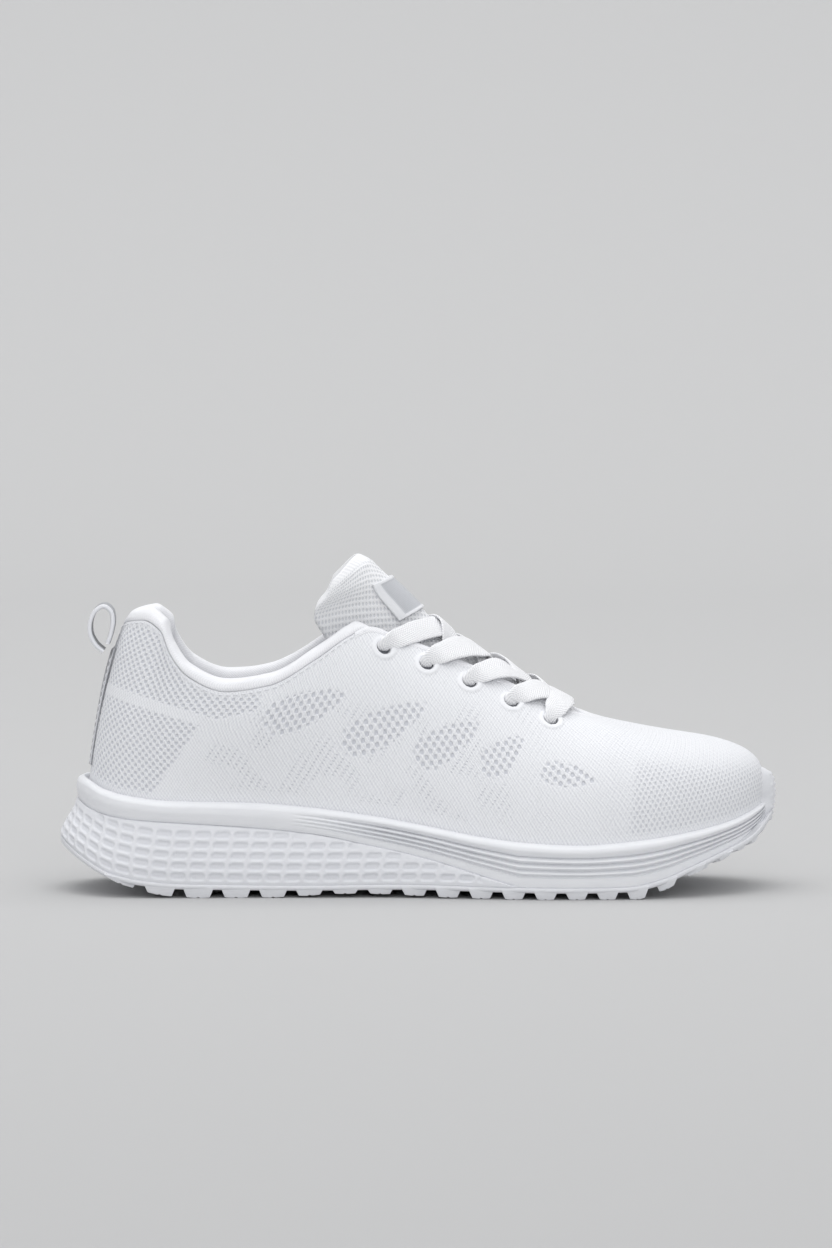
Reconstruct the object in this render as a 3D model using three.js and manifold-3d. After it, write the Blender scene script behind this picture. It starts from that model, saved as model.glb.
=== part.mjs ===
// Low-cut knit running shoe, right foot, laced, standing on its tread.
// Millimetres. +X runs to the toe, +Z up, -Y is the outer (lateral) side.
import * as THREE from "three";
import { mergeVertices } from "three/addons/utils/BufferGeometryUtils.js";
import Module from "manifold-3d";

const GAP = 0.3;            // air between touching pieces
const STATIONS = 24;        // steps from heel to toe round one side of the sole
const KNIT = 1.5;           // upper knit thickness
const FLOOR_DROP = 7;       // footbed floor below the top edge of the sole wall
const LACE_WIDTH = 7.4;
const LACE_THICK = 1.3;
const EYELET_BORE = 5.4;
const EYELETS = [0.485, 0.528, 0.571, 0.614, 0.657]; // along the throat, top to bottom
const EYELET_DROP = 9;      // from the throat edge down to the bore
const TONGUE_CUT = 0.695;    // where the tongue bends, at the top crossing
const LUG_DEPTH_IN = 13;    // how far an edge lug runs in from the side

const wasm = await Module();
wasm.setup();

// Smooth curve through (x, value) points with no overshoot, level past both ends.
function through(points) {
  const rise = points.slice(1).map(([x, y], i) => (y - points[i][1]) / (x - points[i][0]));
  const slope = points.map((p, i) => {
    const a = rise[Math.max(i - 1, 0)];
    const b = rise[Math.min(i, rise.length - 1)];
    return a * b <= 0 ? 0 : (2 * a * b) / (a + b);
  });
  return (x) => {
    if (x <= points[0][0]) return points[0][1];
    let i = points.length - 2;
    if (x >= points[i + 1][0]) return points[i + 1][1];
    while (x < points[i][0]) i -= 1;
    const step = points[i + 1][0] - points[i][0];
    const t = (x - points[i][0]) / step;
    const s = t * t * (3 - 2 * t);
    const bend = slope[i] * t * (1 - t) ** 2 + slope[i + 1] * (t - 1) * t * t;
    return points[i][1] * (1 - s) + points[i + 1][1] * s + bend * step;
  };
}

// Heights along the shoe.
const feather = through([[-131, 43.6], [-127, 43], [-120, 40], [-112, 38.1], [-94, 36.2], [-63, 35.4], [-44, 34],
  [-19, 30.8], [3, 26.5], [25, 22], [40, 19.8], [62, 18.6], [84, 20.4], [106, 23.6], [121, 27.1], [134, 32.5]]);
const parting = through([[-132, 35.6], [-123, 31.4], [-112, 29.4], [-94, 28.3], [-63, 26.2], [-41, 24], [-19, 19.8],
  [3, 15], [25, 8.5], [40, 4]]);
const rim = through([[-137.5, 20.6], [-126, 13.4], [-117, 9], [-103, 6.3], [-90, 5.2], [-44, 4.6], [3, 5], [30, 4.6],
  [60, 4.3], [80, 4.7], [94, 7.6], [102, 10.8], [115, 16], [128, 21.6], [137, 30]]);
const tread = through([[-136.7, 18.2], [-122, 9.8], [-115, 6], [-103, 2.2], [-92, 0.4], [-84, 0], [-60, 0], [-25, 1.5],
  [20, 0.2], [40, 0], [82, 0], [94, 3], [102, 6.8], [115, 12], [121, 14.8], [128.6, 17.8], [136.5, 26.8]]);
const carrierBase = (x) => Math.max(parting(x), rim(x)) + (x > 110 ? 0.45 : 0.15);

// Plan outline: centreline and half width, closed by an elliptic cap at each end.
const centre = through([[-138, 0], [-60, -1.5], [-20, -3.5], [20, -3], [55, 0], [105, 3], [138, 8]]);
const half = through([[-138, 36], [-100, 35.5], [-60, 33.5], [-20, 32.5], [20, 39], [55, 46], [80, 46.5], [105, 43.5],
  [138, 38]]);
const HEEL_CAP = 36;
const TOE_CAP = 60;

// Point of the outline at k: 0 heel, 0 to 1 lateral side, 1 toe, 1 to 2 medial side.
function edge(k, x0, x1, inset, toeCap = TOE_CAP) {
  const x = x0 + ((x1 - x0) * (1 - Math.cos(Math.PI * k))) / 2;
  const drawIn = typeof inset === "function" ? inset(x) : inset;
  const h = Math.max(0, 1 - (x - x0) / HEEL_CAP);
  const t = Math.max(0, 1 - (x1 - x) / toeCap);
  const ends = Math.max(0, 1 - h ** 2.2) ** 0.48 * Math.max(0, 1 - t ** 2.2) ** 0.45;
  const wide = (half(x) - drawIn) * ends;
  const side = Math.sin(Math.PI * k) >= 0 ? -1 : 1;
  return new THREE.Vector3(x, centre(x) + side * wide, 0);
}

function ring(x0, x1, inset, height, toeCap) {
  return Array.from({ length: 2 * STATIONS }, (_, j) => {
    const p = edge(j / STATIONS, x0, x1, inset, toeCap);
    p.z = height(p.x);
    return p;
  });
}

// Closed solid from equal loops. looped joins the last loop to the first,
// otherwise both ends are capped by strips between point i and point fold - i.
function loft(loops, { looped = false, fold = loops[0].length } = {}) {
  const m = loops[0].length;
  const index = [];
  const rows = looped ? loops.length : loops.length - 1;
  for (let r = 0; r < rows; r += 1) {
    const s = ((r + 1) % loops.length) * m;
    for (let j = 0; j < m; j += 1) {
      const i = (j + 1) % m;
      index.push(r * m + j, r * m + i, s + i, r * m + j, s + i, s + j);
    }
  }
  for (const [base, turn] of looped ? [] : [[0, true], [(loops.length - 1) * m, false]]) {
    const half = Math.floor(fold / 2);
    for (let j = 0; j < half; j += 1) {
      const quad = [j, j + 1, (fold - j - 1 + m) % m, (fold - j + m) % m];
      for (const tri of [[0, 1, 2], [0, 2, 3]]) {
        const [a, b, c] = tri.map((t) => quad[t]);
        if (a === b || b === c || a === c) continue;
        index.push(...(turn ? [base + a, base + c, base + b] : [base + a, base + b, base + c]));
      }
    }
  }
  const geometry = new THREE.BufferGeometry();
  const flat = loops.flat().flatMap((p) => [p.x, p.y, p.z]);
  geometry.setAttribute("position", new THREE.Float32BufferAttribute(flat, 3));
  geometry.setIndex(index);
  return geometry;
}

function toManifold(geometry) {
  const bare = geometry.clone();
  bare.deleteAttribute("normal");
  bare.deleteAttribute("uv");
  const merged = mergeVertices(bare, 1e-4);
  return new wasm.Manifold(new wasm.Mesh({
    numProp: 3,
    vertProperties: new Float32Array(merged.attributes.position.array),
    triVerts: new Uint32Array(merged.index.array),
  }));
}

function fromManifold(solid) {
  const mesh = solid.getMesh();
  const geometry = new THREE.BufferGeometry();
  geometry.setAttribute("position", new THREE.BufferAttribute(mesh.vertProperties, 3));
  geometry.setIndex(new THREE.BufferAttribute(mesh.triVerts, 1));
  return geometry;
}

// ---- outsole -------------------------------------------------------------

const RUBBER_ENDS = [-137.4, 137];
const rubberInset = through([[-137, -1.5], [-100, -3], [-60, -3], [-10, -1], [40, 0.4], [137, 0.6]]);

// One tread lug with tapered sides, its top sunk in the rubber sheet.
function lug(xa, xb, ya, yb, taper) {
  const quad = (grow, height) => [[xa - grow, ya], [xb + grow, ya], [xb + grow, yb], [xa - grow, yb]]
    .map(([x, y]) => new THREE.Vector3(x, y + Math.sign(y - (ya + yb) / 2) * grow, height(x)));
  return loft([quad(0, tread), quad(taper, (x) => rim(x) - 0.6)], { fold: 3 });
}

function lugPitch(x) {
  return THREE.MathUtils.mapLinear(x, -115, 105, 15, 10.8);
}

// Three rows of lugs: one along each edge and one down the middle.
function lugs() {
  const all = [];
  for (let x = -118; x < 116; x += lugPitch(x)) {
    const long = lugPitch(x) - 4.9;
    const k = Math.acos(1 - (2 * (x + long / 2 - RUBBER_ENDS[0])) / (RUBBER_ENDS[1] - RUBBER_ENDS[0])) / Math.PI;
    const low = edge(k, ...RUBBER_ENDS, rubberInset).y;
    const high = edge(2 - k, ...RUBBER_ENDS, rubberInset).y;
    const deep = Math.min(LUG_DEPTH_IN, (high - low) / 4);
    all.push(lug(x, x + long, low + 1, low + deep, 0.5));
    all.push(lug(x, x + long, high - deep, high - 1, 0.5));
    if (high - low > 62) {
      const mid = (low + high) / 2;
      all.push(lug(x, x + long, mid - 12, mid - 2, 0.5));
      all.push(lug(x, x + long, mid + 2, mid + 12, 0.5));
    }
  }
  return all;
}

// Rubber carried up over the front of the toe as a narrow shield.
function toeShield() {
  const reach = 0.052;
  const levels = [[25.5, 1.8, 0.9], [31, 2.8, 0.9], [37, 3.4, 1.4], [42, 3, 1.2], [45.5, 1.9, 0.6], [47, 1.1, 0.2]];
  const loops = levels.map(([z, out, inside]) => {
    const arc = (grow, turn) => Array.from({ length: 9 }, (_, i) => {
      const t = turn ? 8 - i : i;
      const p = edge(1 - reach + (reach * t) / 4, -131, 134.6 + grow, -grow);
      p.z = z;
      return p;
    });
    return [...arc(out, false), ...arc(inside, true)];
  });
  return loft(loops, { fold: 17 });
}

function outsole() {
  const sheet = loft([
    ring(...RUBBER_ENDS, (x) => rubberInset(x) + 0.8, (x) => rim(x) - 1.8),
    ring(...RUBBER_ENDS, rubberInset, (x) => rim(x) - 1.2),
    ring(...RUBBER_ENDS, rubberInset, (x) => rim(x) - 0.15),
  ]);
  let solid = toManifold(sheet).add(toManifold(toeShield()));
  for (const block of lugs()) solid = solid.add(toManifold(block));
  return fromManifold(solid);
}

// ---- midsole ---------------------------------------------------------------

const FOAM_END = 35;        // where the lower foam runs out under the midfoot
const lowerTop = (x) => Math.max(parting(x) - 0.15, rim(x) + 0.9);

function midsoleLower() {
  const mix = (f) => (x) => THREE.MathUtils.lerp(rim(x) + 0.15, lowerTop(x), f);
  return loft([
    ring(-136.6, FOAM_END, (x) => rubberInset(x) + 0.9, mix(0), 12),
    ring(-137.3, FOAM_END, (x) => rubberInset(x) + 0.2, mix(0.08), 12),
    ring(-135.6, FOAM_END, (x) => rubberInset(x) * 0.8, mix(0.4), 12),
    ring(-132.6, FOAM_END, (x) => rubberInset(x) * 0.35, mix(0.75), 12),
    ring(-131, FOAM_END, 0.8, mix(1), 12),
  ]);
}

// Inset of the smooth upper band at share f of its height; from the midfoot
// forward it carries three rounded ridges below a plain roll.
const ROLL = [[0, 1.6], [0.08, 0.5], [0.5, -0.3], [0.9, 0.4], [1, 1.5]];
const RIDGES = [[0, 1.4], [0.05, 0.4], [0.13, 1.8], [0.225, 0], [0.32, 1.8], [0.415, 0], [0.51, 1.8], [0.605, 0],
  [0.7, 1.9], [0.77, 0.1], [0.86, -0.3], [0.94, 0.3], [1, 1.5]];
const ridgeFade = through([[-45, 0], [-15, 1]]);

function midsoleCarrier() {
  const plain = through(ROLL);
  const rows = RIDGES.map(([f, inset]) => ring(
    THREE.MathUtils.lerp(-131, -130.6, f),
    THREE.MathUtils.lerp(134.6, 133.8, f) - inset * 0.6,
    (x) => THREE.MathUtils.lerp(plain(f), inset, ridgeFade(x)),
    (x) => THREE.MathUtils.lerp(carrierBase(x), feather(x), f),
  ));
  const lip = ring(-128.4, 131.9, 2.8, (x) => feather(x) - 0.3);
  const floor = ring(-127.6, 131, 3.6, (x) => feather(x) - FLOOR_DROP);
  return loft([...rows, lip, floor]);
}

function board(x0, x1, inset, low, high) {
  return loft([
    ring(x0, x1, inset, (x) => feather(x) - FLOOR_DROP + low),
    ring(x0, x1, inset, (x) => feather(x) - FLOOR_DROP + high),
  ]);
}

// ---- upper surface -----------------------------------------------------------

// Top edge of the knit at k: [k, x, half width, z], heel to throat.
const TOPLINE = [[0, -113.2, 0, 101.3], [0.07, -110.5, 10.5, 103.2], [0.13, -104.5, 17, 104], [0.18, -98.3, 21.5, 100.3],
  [0.215, -94.3, 25, 91.4], [0.25, -87.5, 28.5, 83.4], [0.3, -73, 31.5, 77.9], [0.35, -56.5, 31, 80.2],
  [0.4, -39, 27.5, 89.7], [0.44, -26, 23, 98.3], [0.465, -18, 19.5, 101.5], [0.49, -8.5, 17, 98.2],
  [0.54, 10, 15, 91.2], [0.6, 32, 14, 81.5], [0.66, 50, 12.5, 73], [0.74, 59, 9.5, 69], [0.86, 63.5, 5, 67.2],
  [1, 65, 0, 66.7]];
const topX = through(TOPLINE.map((r) => [r[0], r[1]]));
const topHalf = through(TOPLINE.map((r) => [r[0], r[2]]));
const topZ = through(TOPLINE.map((r) => [r[0], r[3]]));
const topShift = through([[0, 0], [0.35, -0.5], [0.48, 2], [0.6, 2], [1, 1.5]]);
// How far and at what tilt the wall leaves the sole and reaches the top edge.
const riseLong = through([[0, 24], [0.2, 22], [0.5, 24], [0.7, 26], [0.85, 31], [1, 37]]);
const riseTilt = through([[0, -9], [0.12, -2], [0.25, 5], [0.4, 2], [0.5, 0], [0.65, 8], [0.85, 9], [1, 10]]);
const landLong = through([[0, 20], [0.25, 15], [0.4, 18], [0.5, 22], [0.66, 27], [0.8, 45], [1, 57]]);
const landTilt = through([[0, 24], [0.25, 12], [0.4, 20], [0.5, 44], [0.6, 52], [0.7, 66], [0.8, 76], [1, 78]]);

const fold = (k) => {
  const turn = ((k % 2) + 2) % 2;
  return turn > 1 ? 2 - turn : turn;
};

function topline(k) {
  const f = fold(k);
  const side = Math.sin(Math.PI * k) >= 0 ? -1 : 1;
  return new THREE.Vector3(topX(f), topShift(f) + side * topHalf(f), topZ(f));
}

function footline(k) {
  const p = edge(k, -127.2, 130.4, 4);
  p.z = feather(p.x) - FLOOR_DROP + 0.4;
  return p;
}

function tiltRad(curve, f) {
  return THREE.MathUtils.degToRad(curve(f));
}

// Outer face of the knit: v runs from 0 at the footbed to 1 at the top edge.
function skin(k, v) {
  const f = fold(k);
  const a = footline(k);
  const d = topline(k);
  const out = footline(k + 0.004).sub(footline(k - 0.004)).setZ(0).normalize();
  out.set(out.y, -out.x, 0);
  const b = out.clone().multiplyScalar(Math.sin(tiltRad(riseTilt, f)));
  b.z = Math.cos(tiltRad(riseTilt, f));
  b.multiplyScalar(riseLong(f)).add(a);
  const lead = out.clone().multiplyScalar(12).add(a).sub(d).setZ(0).normalize();
  const c = lead.multiplyScalar(Math.sin(tiltRad(landTilt, f)));
  c.z = -Math.cos(tiltRad(landTilt, f));
  c.multiplyScalar(landLong(f)).add(d);
  return new THREE.CubicBezierCurve3(a, b, c, d).getPoint(v);
}

function skinNormal(k, v) {
  const along = skin(k + 0.006, v).sub(skin(k - 0.006, v));
  const up = skin(k, Math.min(v + 0.01, 1)).sub(skin(k, Math.max(v - 0.01, 0)));
  return along.cross(up).normalize();
}

// Point off the skin: rise in mm from the top edge along the wall, d outward.
function place(k, rise, d) {
  if (rise <= 0) {
    const v = Math.max(0, 1 + rise / wallLength(k));
    return skin(k, v).addScaledVector(skinNormal(k, v), d);
  }
  const up = skin(k, 1).sub(skin(k, 0.97)).normalize();
  return skin(k, 1).addScaledVector(up, rise).addScaledVector(skinNormal(k, 1), d);
}

function wallLength(k) {
  let long = 0;
  for (let i = 0; i < 8; i += 1) long += skin(k, i / 8).distanceTo(skin(k, (i + 1) / 8));
  return long;
}

// Solid sheet along the skin over k and v, between two depths.
function patch(ks, vs, outer, inner) {
  const at = (k, v, d) => skin(k, v).addScaledVector(skinNormal(k, v), d);
  return loft(ks.map((k) => [
    ...vs.map((v) => at(k, v, inner)),
    ...vs.slice().reverse().map((v) => at(k, v, outer)),
  ]), { fold: 2 * vs.length - 1 });
}

function steps(from, to, count) {
  return Array.from({ length: count + 1 }, (_, i) => from + ((to - from) * i) / count);
}

// ---- eyelets ---------------------------------------------------------------------

function eyelet(n, side) {
  const k = side < 0 ? EYELETS[n] : 2 - EYELETS[n];
  const v = 1 - EYELET_DROP / wallLength(k);
  return { k, v, at: skin(k, v), out: skinNormal(k, v) };
}

function bores(side, wider = 0) {
  return EYELETS.map((_, n) => {
    const { at, out } = eyelet(n, side);
    const drill = new THREE.CylinderGeometry(EYELET_BORE / 2 + wider, EYELET_BORE / 2 + wider, 12, 12);
    drill.applyQuaternion(new THREE.Quaternion().setFromUnitVectors(new THREE.Vector3(0, 1, 0), out));
    drill.translate(at.x, at.y, at.z);
    return toManifold(drill);
  });
}

function drilled(geometry, sides, wider) {
  let solid = toManifold(geometry);
  for (const side of sides) {
    for (const bore of bores(side, wider)) solid = solid.subtract(bore);
  }
  return fromManifold(solid);
}

// Knit turns closer together where the top edge turns sharply.
const WALL_STEPS = [0, 0.09, 0.18, 0.28, 0.4, 0.52, 0.64, 0.76, 0.88, 1];
const KNIT_STEPS = [0, 0.045, 0.09, 0.13, 0.165, 0.2, 0.23, 0.265, 0.3, 0.335, 0.37, 0.405, 0.435, 0.46, 0.475, 0.5,
  0.53, 0.56, 0.59, 0.62, 0.65, 0.68, 0.72, 0.77, 0.83, 0.89, 0.95];

function knitUpper() {
  const ks = [...KNIT_STEPS, 1, ...KNIT_STEPS.slice(1).reverse().map((k) => 2 - k)];
  const vs = WALL_STEPS;
  const row = (v, d) => ks.map((k) => skin(k, v).addScaledVector(skinNormal(k, v), d));
  const loops = [...vs.map((v) => row(v, 0)), ...vs.slice().reverse().map((v) => row(v, -KNIT))];
  return drilled(loft(loops, { looped: true }), [-1, 1]);
}

function eyestay(side) {
  const ks = KNIT_STEPS.filter((k) => k > 0.47 && k < 0.7).map((k) => (side < 0 ? k : 2 - k));
  if (side > 0) ks.reverse();
  const loops = ks.map((k) => {
    const rises = [-15, -10, -5.5, -1];
    return [...rises.map((r) => place(k, r, -KNIT - GAP - 0.7)),
      ...rises.slice().reverse().map((r) => place(k, r, -KNIT - GAP - 0.2))];
  });
  return drilled(loft(loops, { fold: 7 }), [side], 0.8);
}

// ---- heel and collar -----------------------------------------------------------

// The knit's own turns from one end to the other round the heel.
const heelKs = (end) => {
  const half = KNIT_STEPS.filter((k) => k > 0 && k <= end);
  return [...half.slice().reverse().map((k) => -k), 0, ...half];
};

// The padded roll thins out towards the throat.
const rollShare = through([[0.33, 1], [0.45, 0.4]]);

function roll(k, rise, d) {
  return place(k, rise, d < -1.5 ? -1.5 + (d + 1.5) * rollShare(Math.abs(k)) : d);
}

function collarFoam() {
  const loop = [[-18, -3.3], [-13, -5.2], [-5, -7.1], [1.6, -6.8], [3.7, -5.2], [3.7, -3.7], [2.2, -2.3], [0.2, -2.1],
    [-8, -2.1], [-18, -2.1]];
  return loft(heelKs(0.436).map((k) => loop.map(([r, d]) => roll(k, r, d))), { fold: 9 });
}

// Lining from the knit edge over the padded roll and down inside the heel.
function collarLining() {
  const face = [[0.5, -0.2], [3.2, -0.5], [5.5, -2.8], [5.4, -6], [2.6, -8.6], [-5, -9], [-13, -7], [-20, -4.7]];
  const back = [[0.5, -1.2], [2.8, -1.5], [4.5, -3.3], [4.4, -5.6], [1.9, -7.5], [-5, -8], [-13, -6], [-20, -3.7]];
  return loft(heelKs(0.461).map((k) => {
    const low = -wallLength(k) + 11;
    const outer = [...face, [(low - 20) / 2, -4.5], [low, -4.5]];
    const inner = [...back, [(low - 20) / 2, -3.5], [low, -3.5]];
    return [...outer.reverse().map(([r, d]) => roll(k, r, d)), ...inner.map(([r, d]) => roll(k, r, d))];
  }), { fold: 19 });
}

function heelCounter() {
  return patch(heelKs(0.24), WALL_STEPS.slice(1, 6), -KNIT - GAP, -KNIT - GAP - 1.1);
}

function toePuff() {
  const half = KNIT_STEPS.filter((k) => k > 0.75);
  return patch([...half, 1, ...half.slice().reverse().map((k) => 2 - k)], WALL_STEPS.slice(2, 5), -KNIT - GAP,
    -KNIT - GAP - 0.8);
}

function heelStrip() {
  return patch(steps(-0.034, 0.034, 4), [0.17, 0.3, 0.45, 0.6, 0.7, 0.77], GAP + 1.1, GAP + 0.1);
}

// Flat webbing folded into a loop at the top of the heel.
const TAB_WIDTH = 14;
function pullTab() {
  const path = [[-120.6, 91.4], [-123.6, 94.2], [-125.6, 98.5], [-125.4, 103.4], [-123.2, 107.4], [-120.2, 108.8],
    [-117.7, 107], [-116.9, 103.4], [-117.6, 98.6], [-119, 94.4]];
  const curve = new THREE.CatmullRomCurve3(path.map(([x, z]) => new THREE.Vector3(x, 0, z)));
  const loops = steps(0, 1, 18).map((t) => {
    const p = curve.getPoint(t);
    const tangent = curve.getTangent(t);
    const side = new THREE.Vector3(tangent.z, 0, -tangent.x).multiplyScalar(0.55);
    const corner = (y, s) => p.clone().addScaledVector(side, s).setY(y);
    const w = TAB_WIDTH / 2;
    return [corner(w, 1), corner(w, -1), corner(-w, -1), corner(-w, 1)];
  });
  return loft(loops, { fold: 3 });
}

// ---- tongue -------------------------------------------------------------------------

// [s, x, z] down the middle of the tongue's front face, then how far its edges
// lie behind and below, the half width and the thickness.
const tongueX = through([[0, 70], [0.15, 58], [0.3, 41], [0.45, 24], [0.6, 8], [0.7, -1.5], [0.8, -9.5], [0.9, -16.5],
  [1, -22.5]]);
const tongueZ = through([[0, 60.5], [0.15, 65.5], [0.3, 75.3], [0.45, 85.6], [0.6, 95.6], [0.7, 104], [0.8, 113],
  [0.9, 121.5], [1, 128.6]]);
const edgeBack = through([[0, 1], [0.15, 2], [0.3, 4], [0.45, 7], [0.6, 11], [0.7, 15.5], [0.8, 17], [0.9, 13], [1, 5]]);
const edgeDown = through([[0, 6], [0.15, 10], [0.3, 14], [0.45, 16.5], [0.6, 16.5], [0.7, 12], [0.8, 8], [0.9, 6], [1, 3.5]]);
const tongueHalf = through([[0, 15], [0.3, 17], [0.55, 16.2], [0.66, 13.8], [0.75, 14.4], [0.9, 20], [1, 16.5]]);
const tongueThick = through([[0, 3.2], [0.45, 3.6], [0.62, 5], [0.75, 6], [0.95, 6], [1, 5.4]]);

function tongueFace(s, q) {
  const shift = THREE.MathUtils.lerp(1.5, 2, Math.min(s / 0.5, 1));
  const bow = q * q;
  const x = tongueX(s) - edgeBack(s) * bow;
  const z = tongueZ(s) - edgeDown(s) * bow;
  return new THREE.Vector3(x, shift + tongueHalf(s) * q, z);
}

// Layers are set off between the local normal and that of the tongue's middle.
function tongueSetOff(s, q) {
  return tongueNormal(s, q).lerp(tongueNormal(s, 0), 0.5).normalize();
}

function tongueNormal(s, q) {
  const along = tongueFace(Math.min(s + 0.02, 1), q).sub(tongueFace(Math.max(s - 0.02, 0), q));
  const across = tongueFace(s, q + 0.02).sub(tongueFace(s, q - 0.02));
  return along.cross(across).negate().normalize();
}

// One layer of the tongue: s from one end curve to another, between two depths
// given as shares of the local thickness plus a fixed distance.
function tongueLayer(from, to, width, outer, inner, count) {
  const qs = steps(-width, width, 8);
  const point = (t, q, [share, fixed]) => {
    const s = THREE.MathUtils.lerp(from(q), to(q), t);
    return tongueFace(s, q).addScaledVector(tongueSetOff(s, q), -share * tongueThick(s) - fixed);
  };
  return loft(steps(0, 1, count).map((t) => [
    ...qs.map((q) => point(t, q, outer)),
    ...qs.slice().reverse().map((q) => point(t, q, inner)),
  ]), { fold: 17 });
}

const BASE_END = () => 0;
const LOW_CUT = (q) => TONGUE_CUT - 0.004 - 0.02 * q * q;
const HIGH_CUT = (q) => TONGUE_CUT + 0.004 + 0.025 * q * q;
const TOP_END = (q) => 1 - 0.06 * q ** 4;
const COVER = [[0, 0], [0, 0.9]];
const CORE = [[0, 1.5], [1, -1.5]];
const FLAP_CORE = [[0, 2], [1, -1.8]];
const BACKING = [[1, -0.9], [1, 0]];

function tongueLabel() {
  const place = (s, q, d) => tongueFace(s, q).addScaledVector(tongueNormal(s, q), d);
  const qs = steps(-0.5, 0.5, 6);
  return loft(steps(0.745, 0.9, 5).map((s) => [
    ...qs.map((q) => place(s, q, GAP + 0.8)),
    ...qs.slice().reverse().map((q) => place(s, q, GAP)),
  ]), { fold: 13 });
}

// ---- lace -------------------------------------------------------------------------------

const LACE_OUT = 1.35;      // lace middle above the knit
const LACE_IN = -4.1;      // lace middle below the knit, under the eyestay
const tongueAt = through([[-22.5, 1], [-16.5, 0.9], [-9.5, 0.8], [-1.5, 0.7], [8, 0.6], [24, 0.45], [41, 0.3], [58, 0.15],
  [70, 0]]);

// Stops of half the lace, from the middle of the bottom bar to one hidden end:
// over the edge, into a bore, back under the edge, across the tongue, and so on up.
function laceHalf(first, lift) {
  const stops = [];
  const put = (p, up, wide, thick = LACE_THICK) => stops.push({ p, up, wide, thick });
  let side = first;
  let face = 1;
  for (let n = EYELETS.length - 1; n >= 0; n -= 1) {
    const { k, at, out } = eyelet(n, side);
    const back = n > 0 ? side * 0.004 : 0;
    const down = skin(k, 0.9).sub(skin(k, 1)).normalize();
    const lead = k - side * (n === EYELETS.length - 1 ? 0.004 : -0.01);
    put(place(lead, 0.2, LACE_OUT), out.clone().multiplyScalar(face), LACE_WIDTH);
    put(place(k, -5.4, LACE_OUT - 0.1), out.clone().multiplyScalar(face), LACE_WIDTH * 0.85);
    put(at.clone().addScaledVector(out, 0.75).addScaledVector(down, -0.9), out.clone().add(down)
      .multiplyScalar(face), 4.6, 2);
    put(at.clone().addScaledVector(out, -1), down.clone().multiplyScalar(face), 3.8, 2);
    put(at.clone().addScaledVector(out, -3.2).addScaledVector(down, -0.9), down.clone().sub(out)
      .multiplyScalar(face), 4.6, 2);
    if (n === 0) break;
    put(place(k + back, -5, LACE_IN), out.clone().multiplyScalar(-face), LACE_WIDTH * 0.85);
    put(place(k + back * 2, 0.2, LACE_IN), out.clone().multiplyScalar(-face), LACE_WIDTH);
    const next = eyelet(n - 1, -side);
    const s = tongueAt((at.x + next.at.x) / 2 + 8);
    const top = tongueNormal(s, 0);
    put(tongueFace(s, 0).addScaledVector(top, lift + (n === 1 ? 0.9 : 0)), top.multiplyScalar(-face), LACE_WIDTH);
    side = -side;
    face = -face;
  }
  const { k, out } = eyelet(0, side);
  const inward = out.multiplyScalar(-face);
  const ahead = side < 0 ? 1 : -1;
  for (const [dk, rise, d, wide] of [[0.004, -14, -4.6, 6], [0.014, -21, -6.2, 5.5], [0.026, -28, -6.8, 4], [0.036, -34,
    -7, 2.6]]) {
    put(place(k + ahead * dk, rise, d), inward, wide, wide < 5 ? 2 : LACE_THICK);
  }
  return stops;
}

function laceStops() {
  const bar = tongueFace(0.19, 0);
  const up = tongueNormal(0.19, 0);
  const middle = { p: bar.addScaledVector(up, 5), up, wide: LACE_WIDTH, thick: LACE_THICK };
  return [...laceHalf(-1, 1.9).reverse().map((s) => ({ ...s })), middle, ...laceHalf(1, 3.6)];
}

// Flat-sided sections carried along the stops.
function lace() {
  const stops = laceStops();
  const curve = new THREE.CatmullRomCurve3(stops.map((s) => s.p), false, "centripetal");
  const last = stops.length - 1;
  const loops = steps(0, 1, last * 2).map((t) => {
    const i = Math.min(Math.floor(t * last), last - 1);
    const f = t * last - i;
    const mix = (key) => THREE.MathUtils.lerp(stops[i][key], stops[i + 1][key], f);
    const tangent = curve.getTangent(t);
    const up = stops[i].up.clone().lerp(stops[i + 1].up, f);
    up.addScaledVector(tangent, -up.dot(tangent)).normalize();
    const across = tangent.clone().cross(up);
    const shape = [[0.5, 0], [0.42, -0.5], [-0.42, -0.5], [-0.5, 0], [-0.42, 0.5], [0.42, 0.5]];
    return shape.map(([a, b]) => curve.getPoint(t).addScaledVector(across, a * mix("wide"))
      .addScaledVector(up, b * mix("thick")));
  });
  return loft(loops, { fold: 5 });
}

// Hard tip crimped on a lace end.
function aglet(side) {
  const stops = side < 0 ? laceStops().slice(0, 2).reverse() : laceStops().slice(-2);
  const run = stops[1].p.clone().sub(stops[0].p).normalize();
  const tip = new THREE.CylinderGeometry(1.5, 1.7, 18, 10);
  tip.applyQuaternion(new THREE.Quaternion().setFromUnitVectors(new THREE.Vector3(0, 1, 0), run));
  const c = stops[1].p.clone().addScaledVector(run, 9 + GAP);
  return tip.translate(c.x, c.y, c.z);
}

// ---- assembly ---------------------------------------------------------------------------------

function finish(color, roughness) {
  return new THREE.MeshStandardMaterial({ color, roughness, metalness: 0 });
}

const WHITE_KNIT = finish(0xf0f1f5, 0.9);
const WHITE_FOAM = finish(0xe8eaf0, 0.6);

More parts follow.
